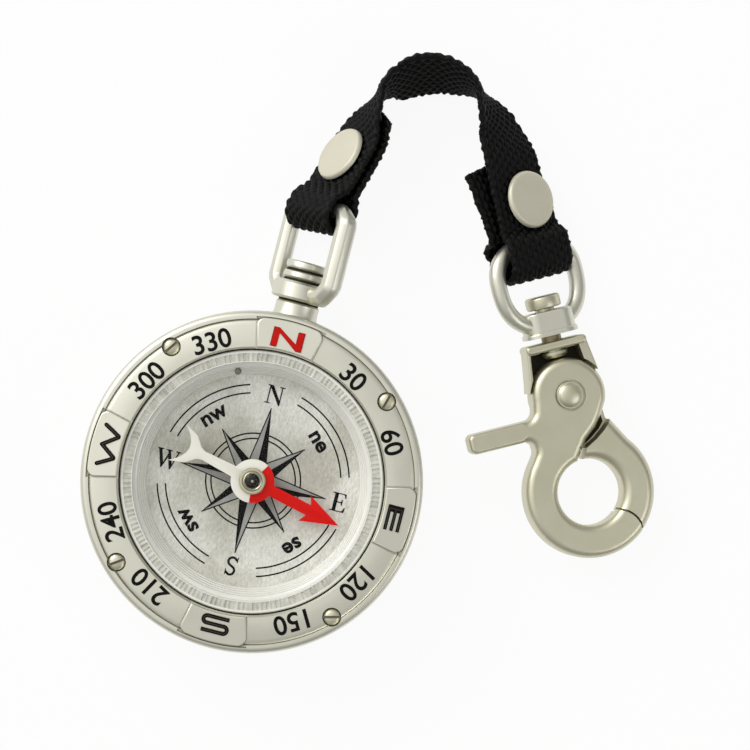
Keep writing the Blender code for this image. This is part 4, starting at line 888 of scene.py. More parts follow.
# %% Dial letters
SERIF = {
    "N": [[(-1.15, 1.25), (-0.45, 1.25), (0.75, -0.55), (0.75, 1.1), (0.45, 1.13), (0.45, 1.25), (1.2, 1.25),
           (1.2, 1.13), (0.9, 1.1), (0.9, -1.3), (0.75, -1.3), (-0.72, 0.85), (-0.72, -1.1), (-0.42, -1.13),
           (-0.42, -1.25), (-1.2, -1.25), (-1.2, -1.13), (-0.88, -1.1), (-0.88, 1.05), (-1.15, 1.13)]],
    "E": [[(-1.0, 1.25), (0.85, 1.25), (0.88, 0.65), (0.76, 0.65), (0.62, 1.05), (0.45, 1.12), (-0.2, 1.12),
           (-0.2, 0.1), (0.3, 0.1), (0.4, 0.4), (0.52, 0.4), (0.52, -0.35), (0.4, -0.35), (0.3, -0.04),
           (-0.2, -0.04), (-0.2, -1.12), (0.5, -1.12), (0.72, -1.0), (0.9, -0.55), (1.02, -0.55),
           (0.93, -1.25), (-1.0, -1.25), (-1.0, -1.14), (-0.68, -1.08), (-0.68, 1.08), (-1.0, 1.14)]],
    "W": [[(-1.6, 1.25), (-0.75, 1.25), (-0.75, 1.14), (-1.0, 1.08), (-0.5, -0.55), (-0.08, 0.78),
           (-0.2, 1.1), (-0.45, 1.14), (-0.45, 1.25), (0.42, 1.25), (0.42, 1.14), (0.18, 1.08),
           (0.68, -0.55), (1.15, 1.05), (0.88, 1.14), (0.88, 1.25), (1.6, 1.25), (1.6, 1.14),
           (1.35, 1.05), (0.6, -1.3), (0.45, -1.3), (0.0, 0.25), (-0.58, -1.3), (-0.72, -1.3),
           (-1.42, 1.05), (-1.6, 1.14)]],
}
s_line = [(0.62, 0.86)] + arc((0.02, 0.6), 0.56, math.radians(35), math.radians(235), 12)
s_line += arc((-0.05, -0.6), 0.56, math.radians(55), math.radians(-145), 12) + [(-0.68, -0.86)]
SERIF["S"] = [stroke(s_line, 0.3), [(0.6, 1.28), (0.72, 1.28), (0.72, 0.55), (0.6, 0.55)],
              [(-0.72, -0.5), (-0.6, -0.5), (-0.6, -1.28), (-0.72, -1.28)]]
dial_letters = []
LETTER_R = 11.7
letter_spots = (("N", 0, LETTER_R), ("E", LETTER_R, 0), ("S", 0, -LETTER_R), ("W", -LETTER_R, 0))
for letter, letter_x, letter_y in letter_spots:
    place = Matrix.Translation((letter_x, letter_y, 0))
    dial_letters += [moved(outline, place) for outline in SERIF[letter]]
finish_piece("dial_letters", slabs(dial_letters, DIAL_TOP + INK_OVER, INK_T), BLACK_INK, "compass")

WORD_H, WORD_WEIGHT, WORD_WIDE, WORD_AT_R = 1.5, 0.03, 1.05, 10.0
small_words = []
for word, degrees in (("ne", 45), ("se", 135), ("sw", 225), ("nw", 315)):
    place = Matrix.Rotation(-math.radians(degrees), 4, "Z")
    place = place @ Matrix.Translation((0, WORD_AT_R, DIAL_TOP + 0.025))
    small_words.append(put(text_bmesh(word, WORD_H, WORD_WEIGHT, INK_T, WORD_WIDE), place))
finish_piece("dial_words", merged(small_words), BLACK_INK, "compass", sharp=40)

# %% [markdown]
# ## Needle
# The needle is a thin plate cut as an arrow, a ring and a crescent tail. The arrow's half is red and the
# tail's half cream, and the two colours meet across the ring. The hub is brass with a domed steel centre,
# and a small pale dot on the centre is a painted glint.

# %% Needle and hub
NEEDLE_TURN = Matrix.Rotation(math.radians(-13.2), 4, "Z")  # as the needle points in the photograph
NEEDLE_Z = PIN_TIP_Z - 0.2
NEEDLE_T = 0.3
RING_R = 2.9
SHAFT = 0.75
ring_end = math.asin(SHAFT / RING_R)
COLOUR_TURN = math.radians(72)

RING_HOLE_R = 1.2
ARROW_TIP, HEAD_ROOT, BARB_AT, BARB_HALF = 12.8, 8.3, 7.75, 1.85
arrow = [(ARROW_TIP, 0.0), (BARB_AT, BARB_HALF), (HEAD_ROOT, SHAFT)]
arrow += arc((0, 0), RING_R, ring_end, COLOUR_TURN, 12)
arrow += arc((0, 0), RING_HOLE_R, COLOUR_TURN, -COLOUR_TURN, 16)
arrow += arc((0, 0), RING_R, -COLOUR_TURN, -ring_end, 12) + [(HEAD_ROOT, -SHAFT), (BARB_AT, -BARB_HALF)]
tail_up = arc((0, 0), RING_R, COLOUR_TURN, math.pi - ring_end, 16)
CRESCENT_AT, CRESCENT_TIP_R, CRESCENT_TIP_HALF = 9.4, 11.6, 2.7
neck_r = CRESCENT_AT - 1.2
tip_x = -CRESCENT_TIP_R * math.cos(math.asin(CRESCENT_TIP_HALF / CRESCENT_TIP_R))
tail_up += [(-neck_r + 0.9, SHAFT * 0.8), (-neck_r + 0.2, SHAFT + 0.1), (-neck_r - 0.35, SHAFT + 0.65),
            (-neck_r - 0.95, CRESCENT_TIP_HALF * 0.74), (tip_x, CRESCENT_TIP_HALF)]
tail_up += [(-CRESCENT_AT - 1.2, CRESCENT_TIP_HALF * 0.8), (-CRESCENT_AT - 0.55, CRESCENT_TIP_HALF * 0.55),
            (-CRESCENT_AT - 0.15, CRESCENT_TIP_HALF * 0.27)]
tail_out = tail_up + [(-CRESCENT_AT, 0.0)] + [(x, -y) for x, y in reversed(tail_up)]
tail_out += arc((0, 0), RING_HOLE_R, -COLOUR_TURN, -2 * math.pi + COLOUR_TURN, 24)
for name, outline, look in (("needle_arrow", arrow, RED_LACQUER), ("needle_tail", tail_out, CREAM_LACQUER)):
    needle_bm = put(plate(outline, NEEDLE_Z, NEEDLE_Z + NEEDLE_T, 0.05, 2), NEEDLE_TURN)
    finish_piece(name, needle_bm, look, "needle", ["needle"])

flange = NEEDLE_Z + NEEDLE_T + 0.2
hub_top = flange + 0.35
hub_foot = NEEDLE_Z - 0.4
hub_profile = [(0, PIN_TIP_Z + GAP), (0.6, hub_foot), (0.9, hub_foot), (0.9, flange), (1.75, flange),
               (1.75, hub_top - 0.12), (1.68, hub_top - 0.03), (1.58, hub_top), (1.36, hub_top - 0.03),
               (1.3, hub_top - 0.14), (1.24, hub_top - 0.03), (1.16, hub_top), (1.08, hub_top - 0.05),
               (1.04, hub_top - 0.16), (0, hub_top - 0.16)]
finish_piece("hub_cap", turned(hub_profile, 64), DARK_BRASS, "needle", ["needle_hub"])
jewel_profile = [(0, hub_top - 0.2), (1.0, hub_top - 0.2)]
jewel_profile += domed(1.0, hub_top - 0.14, 0.3, (0.0, 0.3, 0.6, 0.9, 1.2, 1.4))
finish_piece("hub_jewel", turned(jewel_profile + [(0, hub_top + 0.16)], 48), SHADED_STEEL, "needle")
# painted highlight: a tiny pale dome that stands for the glint on the hub's centre
glint_profile = [(0, hub_top), (0.17, hub_top), (0.17, hub_top + 0.16), (0.12, hub_top + 0.22),
               (0, hub_top + 0.24)]
finish_piece("hub_painted_glint", turned(glint_profile, 24), SATIN_NICKEL, "needle")

# %% [markdown]
# ## Neck pin and shackle
# A headed pin runs through the shackle's collar into the neck, with a washer under its head. Low bosses
# keep the turning faces apart, and each groove between them holds a thin dark ring of painted shade. The
# shackle is a closed loop of bar with cut corners, cast in one with its collar.

# %% Pin, washer and shackle
COLLAR_Y = NECK_END_Y + GAP
COLLAR_R, COLLAR_H = 3.8, 2.45
WASHER_R, WASHER_T = 2.9, 1.05
PIN_HEAD_R, PIN_HEAD_T = 2.8, 1.1
WASHER_Y = COLLAR_Y + COLLAR_H + GAP
PIN_HEAD_Y = WASHER_Y + WASHER_T + GAP
SHACKLE_ROLL = math.radians(-54.5)
ARM_W, ARM_T, ARM_ROUND = 2.3, 2.5, 0.72
ARM_X = (10.4 + ARM_W) / 2
BAR_Y = 37.3
SOFT_EDGE = 0.3
GROOVE, TOUCH = 0.5, 0.27


def soft_rim(radius, end_y, angles, soft=SOFT_EDGE):
    """Points of a turned profile round the outer edge of an end face."""
    return [(radius - soft + soft * math.cos(a), end_y - soft + soft * math.sin(a)) for a in angles]


def bossed(radius, near_y, boss_r):
    """Points of a turned profile from a low boss to the outer edge of the near face."""
    return [(boss_r, near_y - TOUCH), (boss_r, near_y), (radius - SOFT_EDGE, near_y),
            (radius, near_y + SOFT_EDGE)]


pin = [(0, 20.3), (PIN_R, 20.3), (PIN_R, PIN_HEAD_Y - TOUCH)]
pin += bossed(PIN_HEAD_R, PIN_HEAD_Y, PIN_HEAD_R - GROOVE)
pin += soft_rim(PIN_HEAD_R, PIN_HEAD_Y + PIN_HEAD_T, (0.0, 0.4, 0.8, 1.2, 1.57))
pin += [(0, PIN_HEAD_Y + PIN_HEAD_T)]
finish_piece("neck_pin", put(turned(pin, 96, True), neck_start), CASE_NICKEL, "compass",
             ["neck_swivel_pin"])
washer = [(PIN_R + GAP, WASHER_Y - TOUCH)] + bossed(WASHER_R, WASHER_Y, WASHER_R - GROOVE)
washer += soft_rim(WASHER_R, WASHER_Y + WASHER_T, (0.0, 0.5, 1.0, 1.57))
washer += [(PIN_R + GAP, WASHER_Y + WASHER_T)]
finish_piece("pin_washer", put(turned(washer, 96, True), neck_start), CASE_NICKEL, "compass", ["neck_washer"])
# painted shade: a thin dark ring deep in each groove between the turning faces
groove_shade_rings = []
for radius, near_y in ((NECK_R, NECK_END_Y), (WASHER_R, WASHER_Y - GAP), (PIN_HEAD_R, PIN_HEAD_Y - GAP)):
    band = hoop(radius - GROOVE, radius - 0.2, near_y + 0.02, near_y + GAP - 0.02, 64, True)
    groove_shade_rings.append(put(band, neck_start))
finish_piece("neck_groove_shade", merged(groove_shade_rings), DEEP_SHADE, "compass")


def rounded_box(width, height, radius, steps):
    """Outline of a rectangle with rounded corners, centred on the origin."""
    outline = []
    for k, (side, up) in enumerate(((1, 1), (-1, 1), (-1, -1), (1, -1))):
        centre = (side * (width / 2 - radius), up * (height / 2 - radius))
        outline += arc(centre, radius, k * math.pi / 2, (k + 1) * math.pi / 2, steps)
    return outline


def faceted_box(width, height, cut, soft):
    """Outline of a rectangle with its corners cut off flat, and each angle eased a little."""
    corners = rounded_box(width, height, cut, 1)
    outline = []
    for before, here, after in zip(corners[-1:] + corners, corners, corners[1:] + corners[:1]):
        for other in (before, after):
            way = (Vector(other) - Vector(here)).normalized() * soft
            outline.append((here[0] + way.x, here[1] + way.y))
    return outline


shackle_place = neck_start @ Matrix.Rotation(SHACKLE_ROLL, 4, "Y")
CORNER_CUT = 1.5
foot_y = COLLAR_Y + ARM_W / 2
arm_x = ARM_X + 0.15
corner_points = [(arm_x, foot_y + CORNER_CUT), (arm_x, BAR_Y - CORNER_CUT), (arm_x - CORNER_CUT, BAR_Y),
                 (-ARM_X + CORNER_CUT, BAR_Y), (-ARM_X, BAR_Y - CORNER_CUT), (-ARM_X, foot_y + CORNER_CUT),
                 (-ARM_X + CORNER_CUT, foot_y), (arm_x - CORNER_CUT, foot_y)]
soft_path, soft_sizes = [], []
for i, (x, y) in enumerate(corner_points):
    here = Vector((x, y))
    size = 0.84 if y > BAR_Y - 0.1 else 1.1 if x > 0 else 1.0
    for other in (Vector(corner_points[i - 1]), Vector(corner_points[(i + 1) % 8])):
        near = here + (other - here).normalized() * 0.35
        soft_path.append(Vector((near.x, near.y, 0)))
        soft_sizes.append(size)
soft_frames = ring_frames(soft_path, Vector((0, 0, 1)), soft_sizes)
loop = swept(faceted_box(ARM_W, ARM_T, ARM_ROUND, 0.16), soft_frames, True)
collar_end = COLLAR_Y + COLLAR_H
collar = [(0, COLLAR_Y - TOUCH)] + bossed(COLLAR_R, COLLAR_Y, NECK_R - GROOVE)
collar += [(COLLAR_R, collar_end - SOFT_EDGE), (COLLAR_R - SOFT_EDGE, collar_end), (0, collar_end)]
shackle = combined(loop, [
    (turned(collar, 72, True), "UNION"),
    (round_bar(PIN_R + GAP, COLLAR_Y - 1, collar_end + 1, 48, True), "DIFFERENCE"),
    (round_bar(WASHER_R + GAP, collar_end, PIN_HEAD_Y + PIN_HEAD_T + 1, 72, True), "DIFFERENCE"),
], "MANIFOLD")
finish_piece("shackle_loop", put(shackle, shackle_place), CASE_NICKEL, "shackle", ["shackle"],
             cast=True)

# %% [markdown]
# ## The strap's route
# The tape leaves the shackle, arches over on its edge and comes down to the hook's eye. It is doubled at both
# ends, with a rivet through each pair of layers. The route is the same list of stations that the CAD strap
# follows: a point, the direction of the tape's upper edge and half the space between the layers.

# %% Route of the strap
STRAP_W, STRAP_T = 9.8, 1.15
LAYER_HALF = 0.73
LEFT_LOOP, RIGHT_LOOP = 2.0, 2.2
LEFT_FOLD_AT, RIGHT_FOLD_AT = -0.8, -2.1
LEFT_RIVET_AT, RIGHT_RIVET_AT = 7.4, 5.6
LEFT_END_AT, RIGHT_END_AT = 14.6, 11.4
RIGHT_SLIDE = 2.4
TAIL_FLARE, OVER_TABLE = 0.8, 0.12
STRAP_LEAN = -19.0
HOOK_HEADING, HOOK_PITCH = 27.83, 2.2
EYE_ROLL, HOOK_ROLL = 33.0, 10.0
CAP_R = 3.85
HOOK_ORIGIN = Vector((31.46, 32.49, 4.7))
EYE_BAR_V = 8.0


def hook_axes(roll_degrees):
    """Placement of the hook's swivel line, rolled about itself: x across, y towards the strap, z up."""
    lying = Matrix.Translation(HOOK_ORIGIN) @ Matrix.Rotation(math.radians(HOOK_HEADING), 4, "Z")
    lying = lying @ Matrix.Rotation(math.radians(HOOK_PITCH), 4, "X")
    return lying @ Matrix.Rotation(math.radians(roll_degrees), 4, "Y")


left_frame = (Matrix.Translation((0, BAR_Y, NECK_Z)) @ Matrix.Rotation(SHACKLE_ROLL, 4, "Y")
              @ Matrix.Rotation(math.radians(STRAP_LEAN), 4, "X"))
right_frame = hook_axes(EYE_ROLL) @ Matrix.Translation((0, EYE_BAR_V, 0))
at_l, along_l, wide_l = (left_frame.col[k].xyz for k in (3, 1, 0))
at_r, along_r, wide_r = right_frame.col[3].xyz, right_frame.col[1].xyz, -right_frame.col[0].xyz


def resting(x, y, wide, gap):
    """A point of the arch whose lower edge just clears the table, for a given lean of the tape."""
    flat = math.hypot(wide[0], wide[1])
    return Vector((x, y, STRAP_W / 2 * wide[2] + (STRAP_T / 2 + gap) * flat + OVER_TABLE))


slack = Vector((-0.25, -0.12, -0.05))
stations = [(at_l + along_l * LEFT_FOLD_AT, wide_l, LEFT_LOOP), (at_l + along_l * 0.6, wide_l, LEFT_LOOP),
            (at_l + along_l * 3.4, wide_l, LAYER_HALF), (at_l + along_l * LEFT_RIVET_AT, wide_l, LAYER_HALF),
            (at_l + along_l * 11.2 + Vector((0, 0, 0.45)), Vector((0.53, -0.01, 0.848)), LAYER_HALF)]
arch = [(3.55, 51.2, (0.27, 0.0, 0.963), LAYER_HALF), (4.2, 53.9, (0.0, 0.08, 0.997), 0.45),
        (5.0, 55.4, (-0.13, 0.20, 0.971), 0.15), (6.1, 56.4, (-0.17, 0.34, 0.925), 0.0),
        (8.2, 57.8, (-0.17, 0.42, 0.891), 0.0), (11.0, 58.6, (-0.06, 0.40, 0.915), 0.0),
        (13.7, 58.4, (0.04, 0.27, 0.962), 0.0), (15.6, 57.8, (0.03, 0.08, 0.996), 0.0),
        (17.1, 56.7, (-0.12, -0.08, 0.989), 0.1), (18.4, 55.2, (-0.29, -0.2, 0.936), 0.35),
        (19.8, 53.1, (-0.46, -0.28, 0.842), 0.6)]
stations += [(resting(x, y, wide, gap), Vector(wide), gap) for x, y, wide, gap in arch]
stations += [(at_r + along_r * 11.9 + slack, Vector((-0.6, -0.34, 0.724)), LAYER_HALF),
             (at_r + along_r * 8.2 + slack, Vector((-0.639, -0.36, 0.68)), LAYER_HALF),
             (at_r + along_r * RIGHT_RIVET_AT + slack * 0.3, Vector((-0.664, -0.373, 0.648)), LAYER_HALF),
             (at_r + along_r * 2.2, Vector((-0.69, -0.385, 0.613)), LAYER_HALF),
             (at_r + along_r * 0.2, wide_r, RIGHT_LOOP), (at_r + along_r * RIGHT_FOLD_AT, wide_r, RIGHT_LOOP)]


def curve_value(values, i, f):
    """Catmull-Rom value a share f of the way from station i to the next."""
    end = len(values) - 1
    a, b, c, d = values[max(i - 1, 0)], values[i], values[min(i + 1, end)], values[min(i + 2, end)]
    return (b * 2 + (c - a) * f + (a * 2 - b * 5 + c * 4 - d) * f * f
            + (b * 3 - a - c * 3 + d) * f * f * f) * 0.5


def strap_samples(per_span):
    """Smooth samples along the stations: point, along, width, face and half gap, each square to the next."""
    points = [s[0] for s in stations]
    widths = [s[1].normalized() for s in stations]
    gaps = [s[2] for s in stations]
    raw = []
    for i in range(len(stations) - 1):
        for k in range(per_span):
            f = k / per_span
            ease = f * f * (3 - 2 * f)
            raw.append((curve_value(points, i, f), curve_value(widths, i, f),
                        gaps[i] * (1 - ease) + gaps[i + 1] * ease))
    raw.append((points[-1], widths[-1], gaps[-1]))
    samples = []
    for i, (point, wide, gap) in enumerate(raw):
        along = (raw[min(i + 1, len(raw) - 1)][0] - raw[max(i - 1, 0)][0]).normalized()
        wide = (wide - along * wide.dot(along)).normalized()
        samples.append((point, along, wide, wide.cross(along).normalized(), gap))
    return samples


def fold(sample, outward, radius, steps):
    """Half a turn of the tape round a bar, from its upper layer to its lower one."""
    point, along, wide, face, _ = sample
    turns = [math.pi * k / steps for k in range(1, steps)]
    return [(point + (face * math.cos(a) + along * outward * math.sin(a)) * radius, wide) for a in turns]


def tail(samples, start, fold_at, rivet_at, end_at, shift):
    """The lower layer from a fold to the cut end, sliding sideways and standing off past the rivet."""
    picked = [samples[start]]
    step = 1 if start == 0 else -1
    i, gone = start, 0.0
    while gone < end_at - fold_at:
        gone += (samples[i + step][0] - samples[i][0]).length
        i += step
        picked.append(samples[i])
    held = (rivet_at + CAP_R - fold_at) / (end_at - fold_at)
    made = []
    for k, (p, _, w, n, gap) in enumerate(picked):
        share = k / (len(picked) - 1)
        flared = TAIL_FLARE * max(0.0, (share - held) / (1 - held))
        made.append((p - n * (gap + flared) + w * shift * share, w))
    return made


def strap_line(per_span):
    """The whole tape from cut end to cut end: points on its middle and its width directions."""
    samples = strap_samples(per_span)
    end = len(samples) - 1
    line = list(reversed(tail(samples, 0, LEFT_FOLD_AT, LEFT_RIVET_AT, LEFT_END_AT, 0.0)))
    line += list(reversed(fold(samples[0], -1, LEFT_LOOP, 16)))
    line += [(p + n * gap, w) for p, _, w, n, gap in samples]
    line += fold(samples[end], 1, RIGHT_LOOP, 16)
    line += tail(samples, end, RIGHT_FOLD_AT, RIGHT_RIVET_AT, RIGHT_END_AT, RIGHT_SLIDE)
    return line


route = strap_line(8)
travelled = [0.0]
for (one, _), (two, _) in zip(route, route[1:]):
    travelled.append(travelled[-1] + (two - one).length)
STRAP_LENGTH = travelled[-1]
print(f"Strap: {STRAP_LENGTH:.1f} mm of tape")

# %% [markdown]
# ## Weaving the strap
# The tape is woven flat and then bent. A flat grid is given thickness, and each yarn's float is pushed up
# where it passes over and down where it passes under, like a chessboard. The edge yarns turn back at each
# one and a half wefts, which makes the scalloped edge, and the cut ends fray a little between the yarns.
# Then each point is carried to its place on the route, and the table flattens what rests on it.

# %% Woven tape
YARNS = 12
PICK = 1.25
PER_YARN, PER_PICK = 4, 6
picks = round(STRAP_LENGTH / PICK)
pick = STRAP_LENGTH / picks
yarn = STRAP_W / YARNS
tape = bmesh.new()
bmesh.ops.create_grid(tape, x_segments=YARNS * PER_YARN, y_segments=picks * PER_PICK, size=0.5)
bmesh.ops.scale(tape, vec=(STRAP_W, STRAP_LENGTH, 1), verts=tape.verts)
bmesh.ops.translate(tape, vec=(0, STRAP_LENGTH / 2, STRAP_T / 2), verts=tape.verts)
lower = bmesh.ops.duplicate(tape, geom=tape.verts[:] + tape.edges[:] + tape.faces[:])["geom"]
lower_verts = [g for g in lower if isinstance(g, bmesh.types.BMVert)]
bmesh.ops.translate(tape, vec=(0, 0, -STRAP_T), verts=lower_verts)
bmesh.ops.reverse_faces(tape, faces=[g for g in lower if isinstance(g, bmesh.types.BMFace)])
rims = [edge for edge in tape.edges if edge.is_boundary]
bmesh.ops.bridge_loops(tape, edges=rims)
uv_layer = tape.loops.layers.uv.new("tape")
for face in tape.faces:
    for corner in face.loops:
        corner[uv_layer].uv = (corner.vert.co.x * MM, corner.vert.co.y * MM)
FLOAT_RISE = 0.43
SCALLOP = 0.4
EDGE_TURN = 1.5
FRAY = 0.5


def woven(x, y, z):
    """The point of a flat tape moved by the weave: up on a float, out on a selvedge turn."""
    side = 1 if z > 0 else -1
    column = (x + STRAP_W / 2) / yarn
    number = min(YARNS - 1, max(0, int(column)))
    across = math.sin(math.pi * min(1.0, max(0.0, column - number)))
    phase = y / pick + (0.5 if number % 2 else 0.0) + (0.5 if side < 0 else 0.0)
    lift = 0.5 - 0.5 * math.cos(2 * math.pi * phase)
    height = FLOAT_RISE * (across ** 0.6 * (0.25 + 0.75 * min(1.0, 1.7 * lift) ** 0.7) - 0.8)
    edge = max(0.0, abs(x) - (STRAP_W / 2 - yarn)) / yarn
    turn = abs(math.sin(math.pi * y / pick / EDGE_TURN))
    out = (turn ** 0.8 - 0.75) * SCALLOP * edge
    thin = 1.0 - 0.45 * edge * edge
    return x + math.copysign(out, x), (z + side * height) * thin


def route_place(distance):
    """Point, width and face directions of the route at a distance along it."""
    distance = min(max(distance, 0.0), STRAP_LENGTH)
    i = min(len(route) - 2, max(0, next(k for k, t in enumerate(travelled) if t >= distance) - 1))
    span = travelled[i + 1] - travelled[i]
    f = (distance - travelled[i]) / span
    point = curve_value([p for p, _ in route[max(0, i - 1):i + 3]], min(i, 1), f)
    wide = route[i][1].lerp(route[i + 1][1], f)
    before, after = route[max(0, i - 1)][0], route[min(len(route) - 1, i + 2)][0]
    along = (route[i + 1][0] - route[i][0]).normalized().lerp((after - before).normalized(), 0.5).normalized()
    wide = (wide - along * wide.dot(along)).normalized()
    return point, wide, along.cross(wide)


def frayed(x, y):
    """The distance along the tape of a point: a cut end draws back a little between its yarns."""
    share = max(0.0, 1 - min(y, STRAP_LENGTH - y) / pick)
    valley = 1 - math.sin(math.pi * ((x + STRAP_W / 2) / yarn % 1.0))
    return y + math.copysign(FRAY * valley * share, STRAP_LENGTH / 2 - y)


places = {}
for vert in tape.verts:
    key = round(frayed(vert.co.x, vert.co.y), 4)
    if key not in places:
        places[key] = route_place(key)
    point, wide, face = places[key]
    x, z = woven(*vert.co)
    vert.co = point + wide * x + face * z
    vert.co.z = max(vert.co.z, 0.0)
strap = finish_piece("strap_tape", tape, WEBBING, "strap", ["strap_webbing"], sharp=180,
                     weld=1e-6)

# %% [markdown]
# ## Rivets
# Each rivet is a pair of pressed caps on one stem. The cap on top is a wide shallow dome with a rolled rim,
# and the back is the same, a little smaller.

# %% Rivets through the strap
def rivet_place(spot, shift):
    near = min(strap_samples(6), key=lambda s: (s[0] - spot).length)
    _, _, wide, face, _ = near
    return placed(wide, face.cross(wide), face, spot + wide * shift)


def dome(radius, seat, high):
    rim = [(radius * 0.96, seat), (radius, seat + 0.12), (radius, seat + 0.28), (radius - 0.05, seat + 0.4)]
    bulge = ((0.965, 0.5), (0.94, 0.72), (0.89, 0.86), (0.8, 0.93), (0.6, 0.98), (0.3, 1.0))
    return rim + [(radius * share, seat + 0.4 + (high - 0.4) * rise) for share, rise in bulge]


CAP_H, BACK_H = 0.8, 0.95
seat = LAYER_HALF + STRAP_T / 2 + GAP
for name, spot, shift, back_r in (("compass", at_l + along_l * LEFT_RIVET_AT, 0.0, 2.9),
                                  ("hook", at_r + along_r * RIGHT_RIVET_AT, -0.45, 3.5)):
    place = rivet_place(spot, shift)
    cap = [(0, -seat - 0.35), (1.1, -seat - 0.35), (1.1, seat)] + dome(CAP_R, seat, CAP_H)
    cap += [(0, seat + CAP_H)]
    finish_piece(f"{name}_cap", put(turned(cap, 96), place), RIVET_NICKEL, "strap", [f"{name}_rivet_cap"])
    back = [(0, -seat - BACK_H)] + [(x, -y) for x, y in reversed(dome(back_r, seat, BACK_H))]
    back += [(1.4, -seat), (1.4, -seat - 0.6), (0, -seat - 0.6)]
    finish_piece(f"{name}_back", put(turned(back, 96), place), RIVET_NICKEL, "strap", [f"{name}_rivet_back"])

# %% [markdown]
# ## Hook eye
# The eye is a rounded D of round bar, cast in one with a boss that the hook's post turns in. The D is a
# superellipse, which is flat on top where the tape lies and runs round into the boss. The boss is a block
# with rounded corners and a rim at its end, turned to face the same way as the hook.

# %% Eye
EYE_WIRE_R, EYE_HALF_W, EYE_WIDEST_V, EYE_FOOT_V = 1.1, 6.4, 3.2, -3.1
BOSS_TOP_V, BOSS_END_V = -1.15, -4.5
POST_R, POST_HEAD_R, POST_HEAD_HALF = 1.3, 2.35, 0.85
POST_FOOT_R, POST_FOOT_T = 1.75, 0.8
EYE_STEPS, EYE_POWER = 120, 0.8  # a power of 1 would make half ellipses, less makes fuller corners
eye_points = []
for i in range(EYE_STEPS):
    a = 2 * math.pi * i / EYE_STEPS
    c, s = math.cos(a), math.sin(a)
    tall = EYE_BAR_V - EYE_WIDEST_V if s > 0 else EYE_WIDEST_V - EYE_FOOT_V
    eye_points.append(Vector((EYE_HALF_W * math.copysign(abs(c) ** EYE_POWER, c),
                              EYE_WIDEST_V + tall * math.copysign(abs(s) ** EYE_POWER, s), 0)))
section = domed(EYE_WIRE_R, 0.0, EYE_WIRE_R, [2 * math.pi * i / 24 for i in range(24)])
ring = swept(section, ring_frames(eye_points, Vector((0, 0, 1))), True)
upright = Matrix.Rotation(math.radians(HOOK_ROLL - EYE_ROLL), 4, "Y") @ Matrix.Rotation(-math.pi / 2, 4, "X")
block = plate(rounded_box(6.9, 5.1, 1.9, 9), BOSS_END_V - 1, BOSS_TOP_V - 0.05, 0.3, 3)
rim_plate = plate(rounded_box(7.4, 5.4, 2.1, 9), BOSS_END_V - 1, BOSS_END_V + 0.7, 0.3, 3)
eye = combined(ring, [
    (put(block, upright), "UNION"),
    (put(rim_plate, upright), "UNION"),
    (round_bar(POST_R + GAP, BOSS_END_V - 1, BOSS_TOP_V + 1, 48, True), "DIFFERENCE"),
    (round_bar(POST_HEAD_R + GAP, BOSS_TOP_V, BOSS_TOP_V + 3, 72, True), "DIFFERENCE"),
    (round_bar(7.0, BOSS_END_V - 3, BOSS_END_V, 72, True), "DIFFERENCE"),
], "MANIFOLD")
finish_piece("eye_ring", put(eye, hook_axes(EYE_ROLL)), CASE_NICKEL, "eye", ["hook_eye"],
             cast=True)

# %% [markdown]
# ## Hook body
# The hook is cast in two parts: a frame with a top plate, two walls, a back cheek and the fixed jaw, and a
# trigger that carries the other jaw. Both are thick plates with generously rounded rims, drawn in the
# plane of the hook: c across and v along its swivel line. The jaws meet in a half lap. The split is cut at
# one place above the middle plane and a little further round below it, so no light shows through.

# %% Hook frame
HALF_T = 2.2
PLATE_TOP_V, PLATE_T, PLATE_HALF_W = -5.3, 1.15, 4.2
CHEEK_T = 1.3
PIVOT = (0.2, -12.8)
RIVET_R, RIVET_HEAD_R = 1.0, 1.85
HEAD_R, CHEEK_R = 5.0, 4.9
JAW_CENTRE, JAW_HOLE_R, JAW_R = (0.0, -26.0), 4.45, 8.8
RIM_ROUND = 1.3
SPLIT_ANGLE = math.radians(-46.5)
hook_place = hook_axes(HOOK_ROLL)
LAP_TURN = -0.075
LAP = (Matrix.Translation((0, JAW_CENTRE[1], 0)) @ Matrix.Rotation(LAP_TURN, 4, "Z")
       @ Matrix.Translation((0, -JAW_CENTRE[1], 0)))


def lapped(outline):
    """The split's cut for the lower half: the fixed jaw ends in a tongue under the trigger's nose."""
    return moved(outline, LAP)


low_v = PLATE_TOP_V - PLATE_T
PAST = math.radians(14)  # how far each jaw is drawn past the split before the split is cut
jaw = arc(JAW_CENTRE, JAW_R, SPLIT_ANGLE - PAST, math.radians(40), 44)
jaw += [(4.95, -17.2), (4.1, -15.7), (-1.0, -18.9)]
jaw += arc(JAW_CENTRE, JAW_HOLE_R, math.radians(110), SPLIT_ANGLE - PAST, 44)
heel_cut = [(5.6, -16.6), (4.95, -17.2), (3.7, -18.35), (2.45, -19.25), (0.75, -20.15), (0.55, -20.7),
            (0.1, -21.7), (0.1, -23.0), (-5.0, -23.0), (-5.0, -13.0), (5.6, -13.0)]
SPLIT = [(2.4, -28.65), (3.51, -29.25), (4.2, -29.62), (4.74, -30.07), (5.12, -30.52), (5.41, -31.04),
         (5.6, -31.55), (5.69, -32.07), (5.85, -32.75), (6.0, -34.5)]
SPLIT_SHIFT = 0.1
split_cut = [(c + SPLIT_SHIFT, v + SPLIT_SHIFT) for c, v in SPLIT]
split_cut += [(6.0, -37.0), (-2.0, -37.0), (-2.0, -28.65)]
nose_cut = [(c - SPLIT_SHIFT, v - SPLIT_SHIFT) for c, v in SPLIT]
nose_cut += [(13.0, -34.5), (13.0, -26.0), (5.0, -26.0)]
cheek = [(PLATE_HALF_W - 0.1, low_v + 0.5), (-PLATE_HALF_W + 0.1, low_v + 0.5), (-4.75, -10.7)]
cheek += arc(PIVOT, CHEEK_R, math.radians(165), math.radians(272), 30)
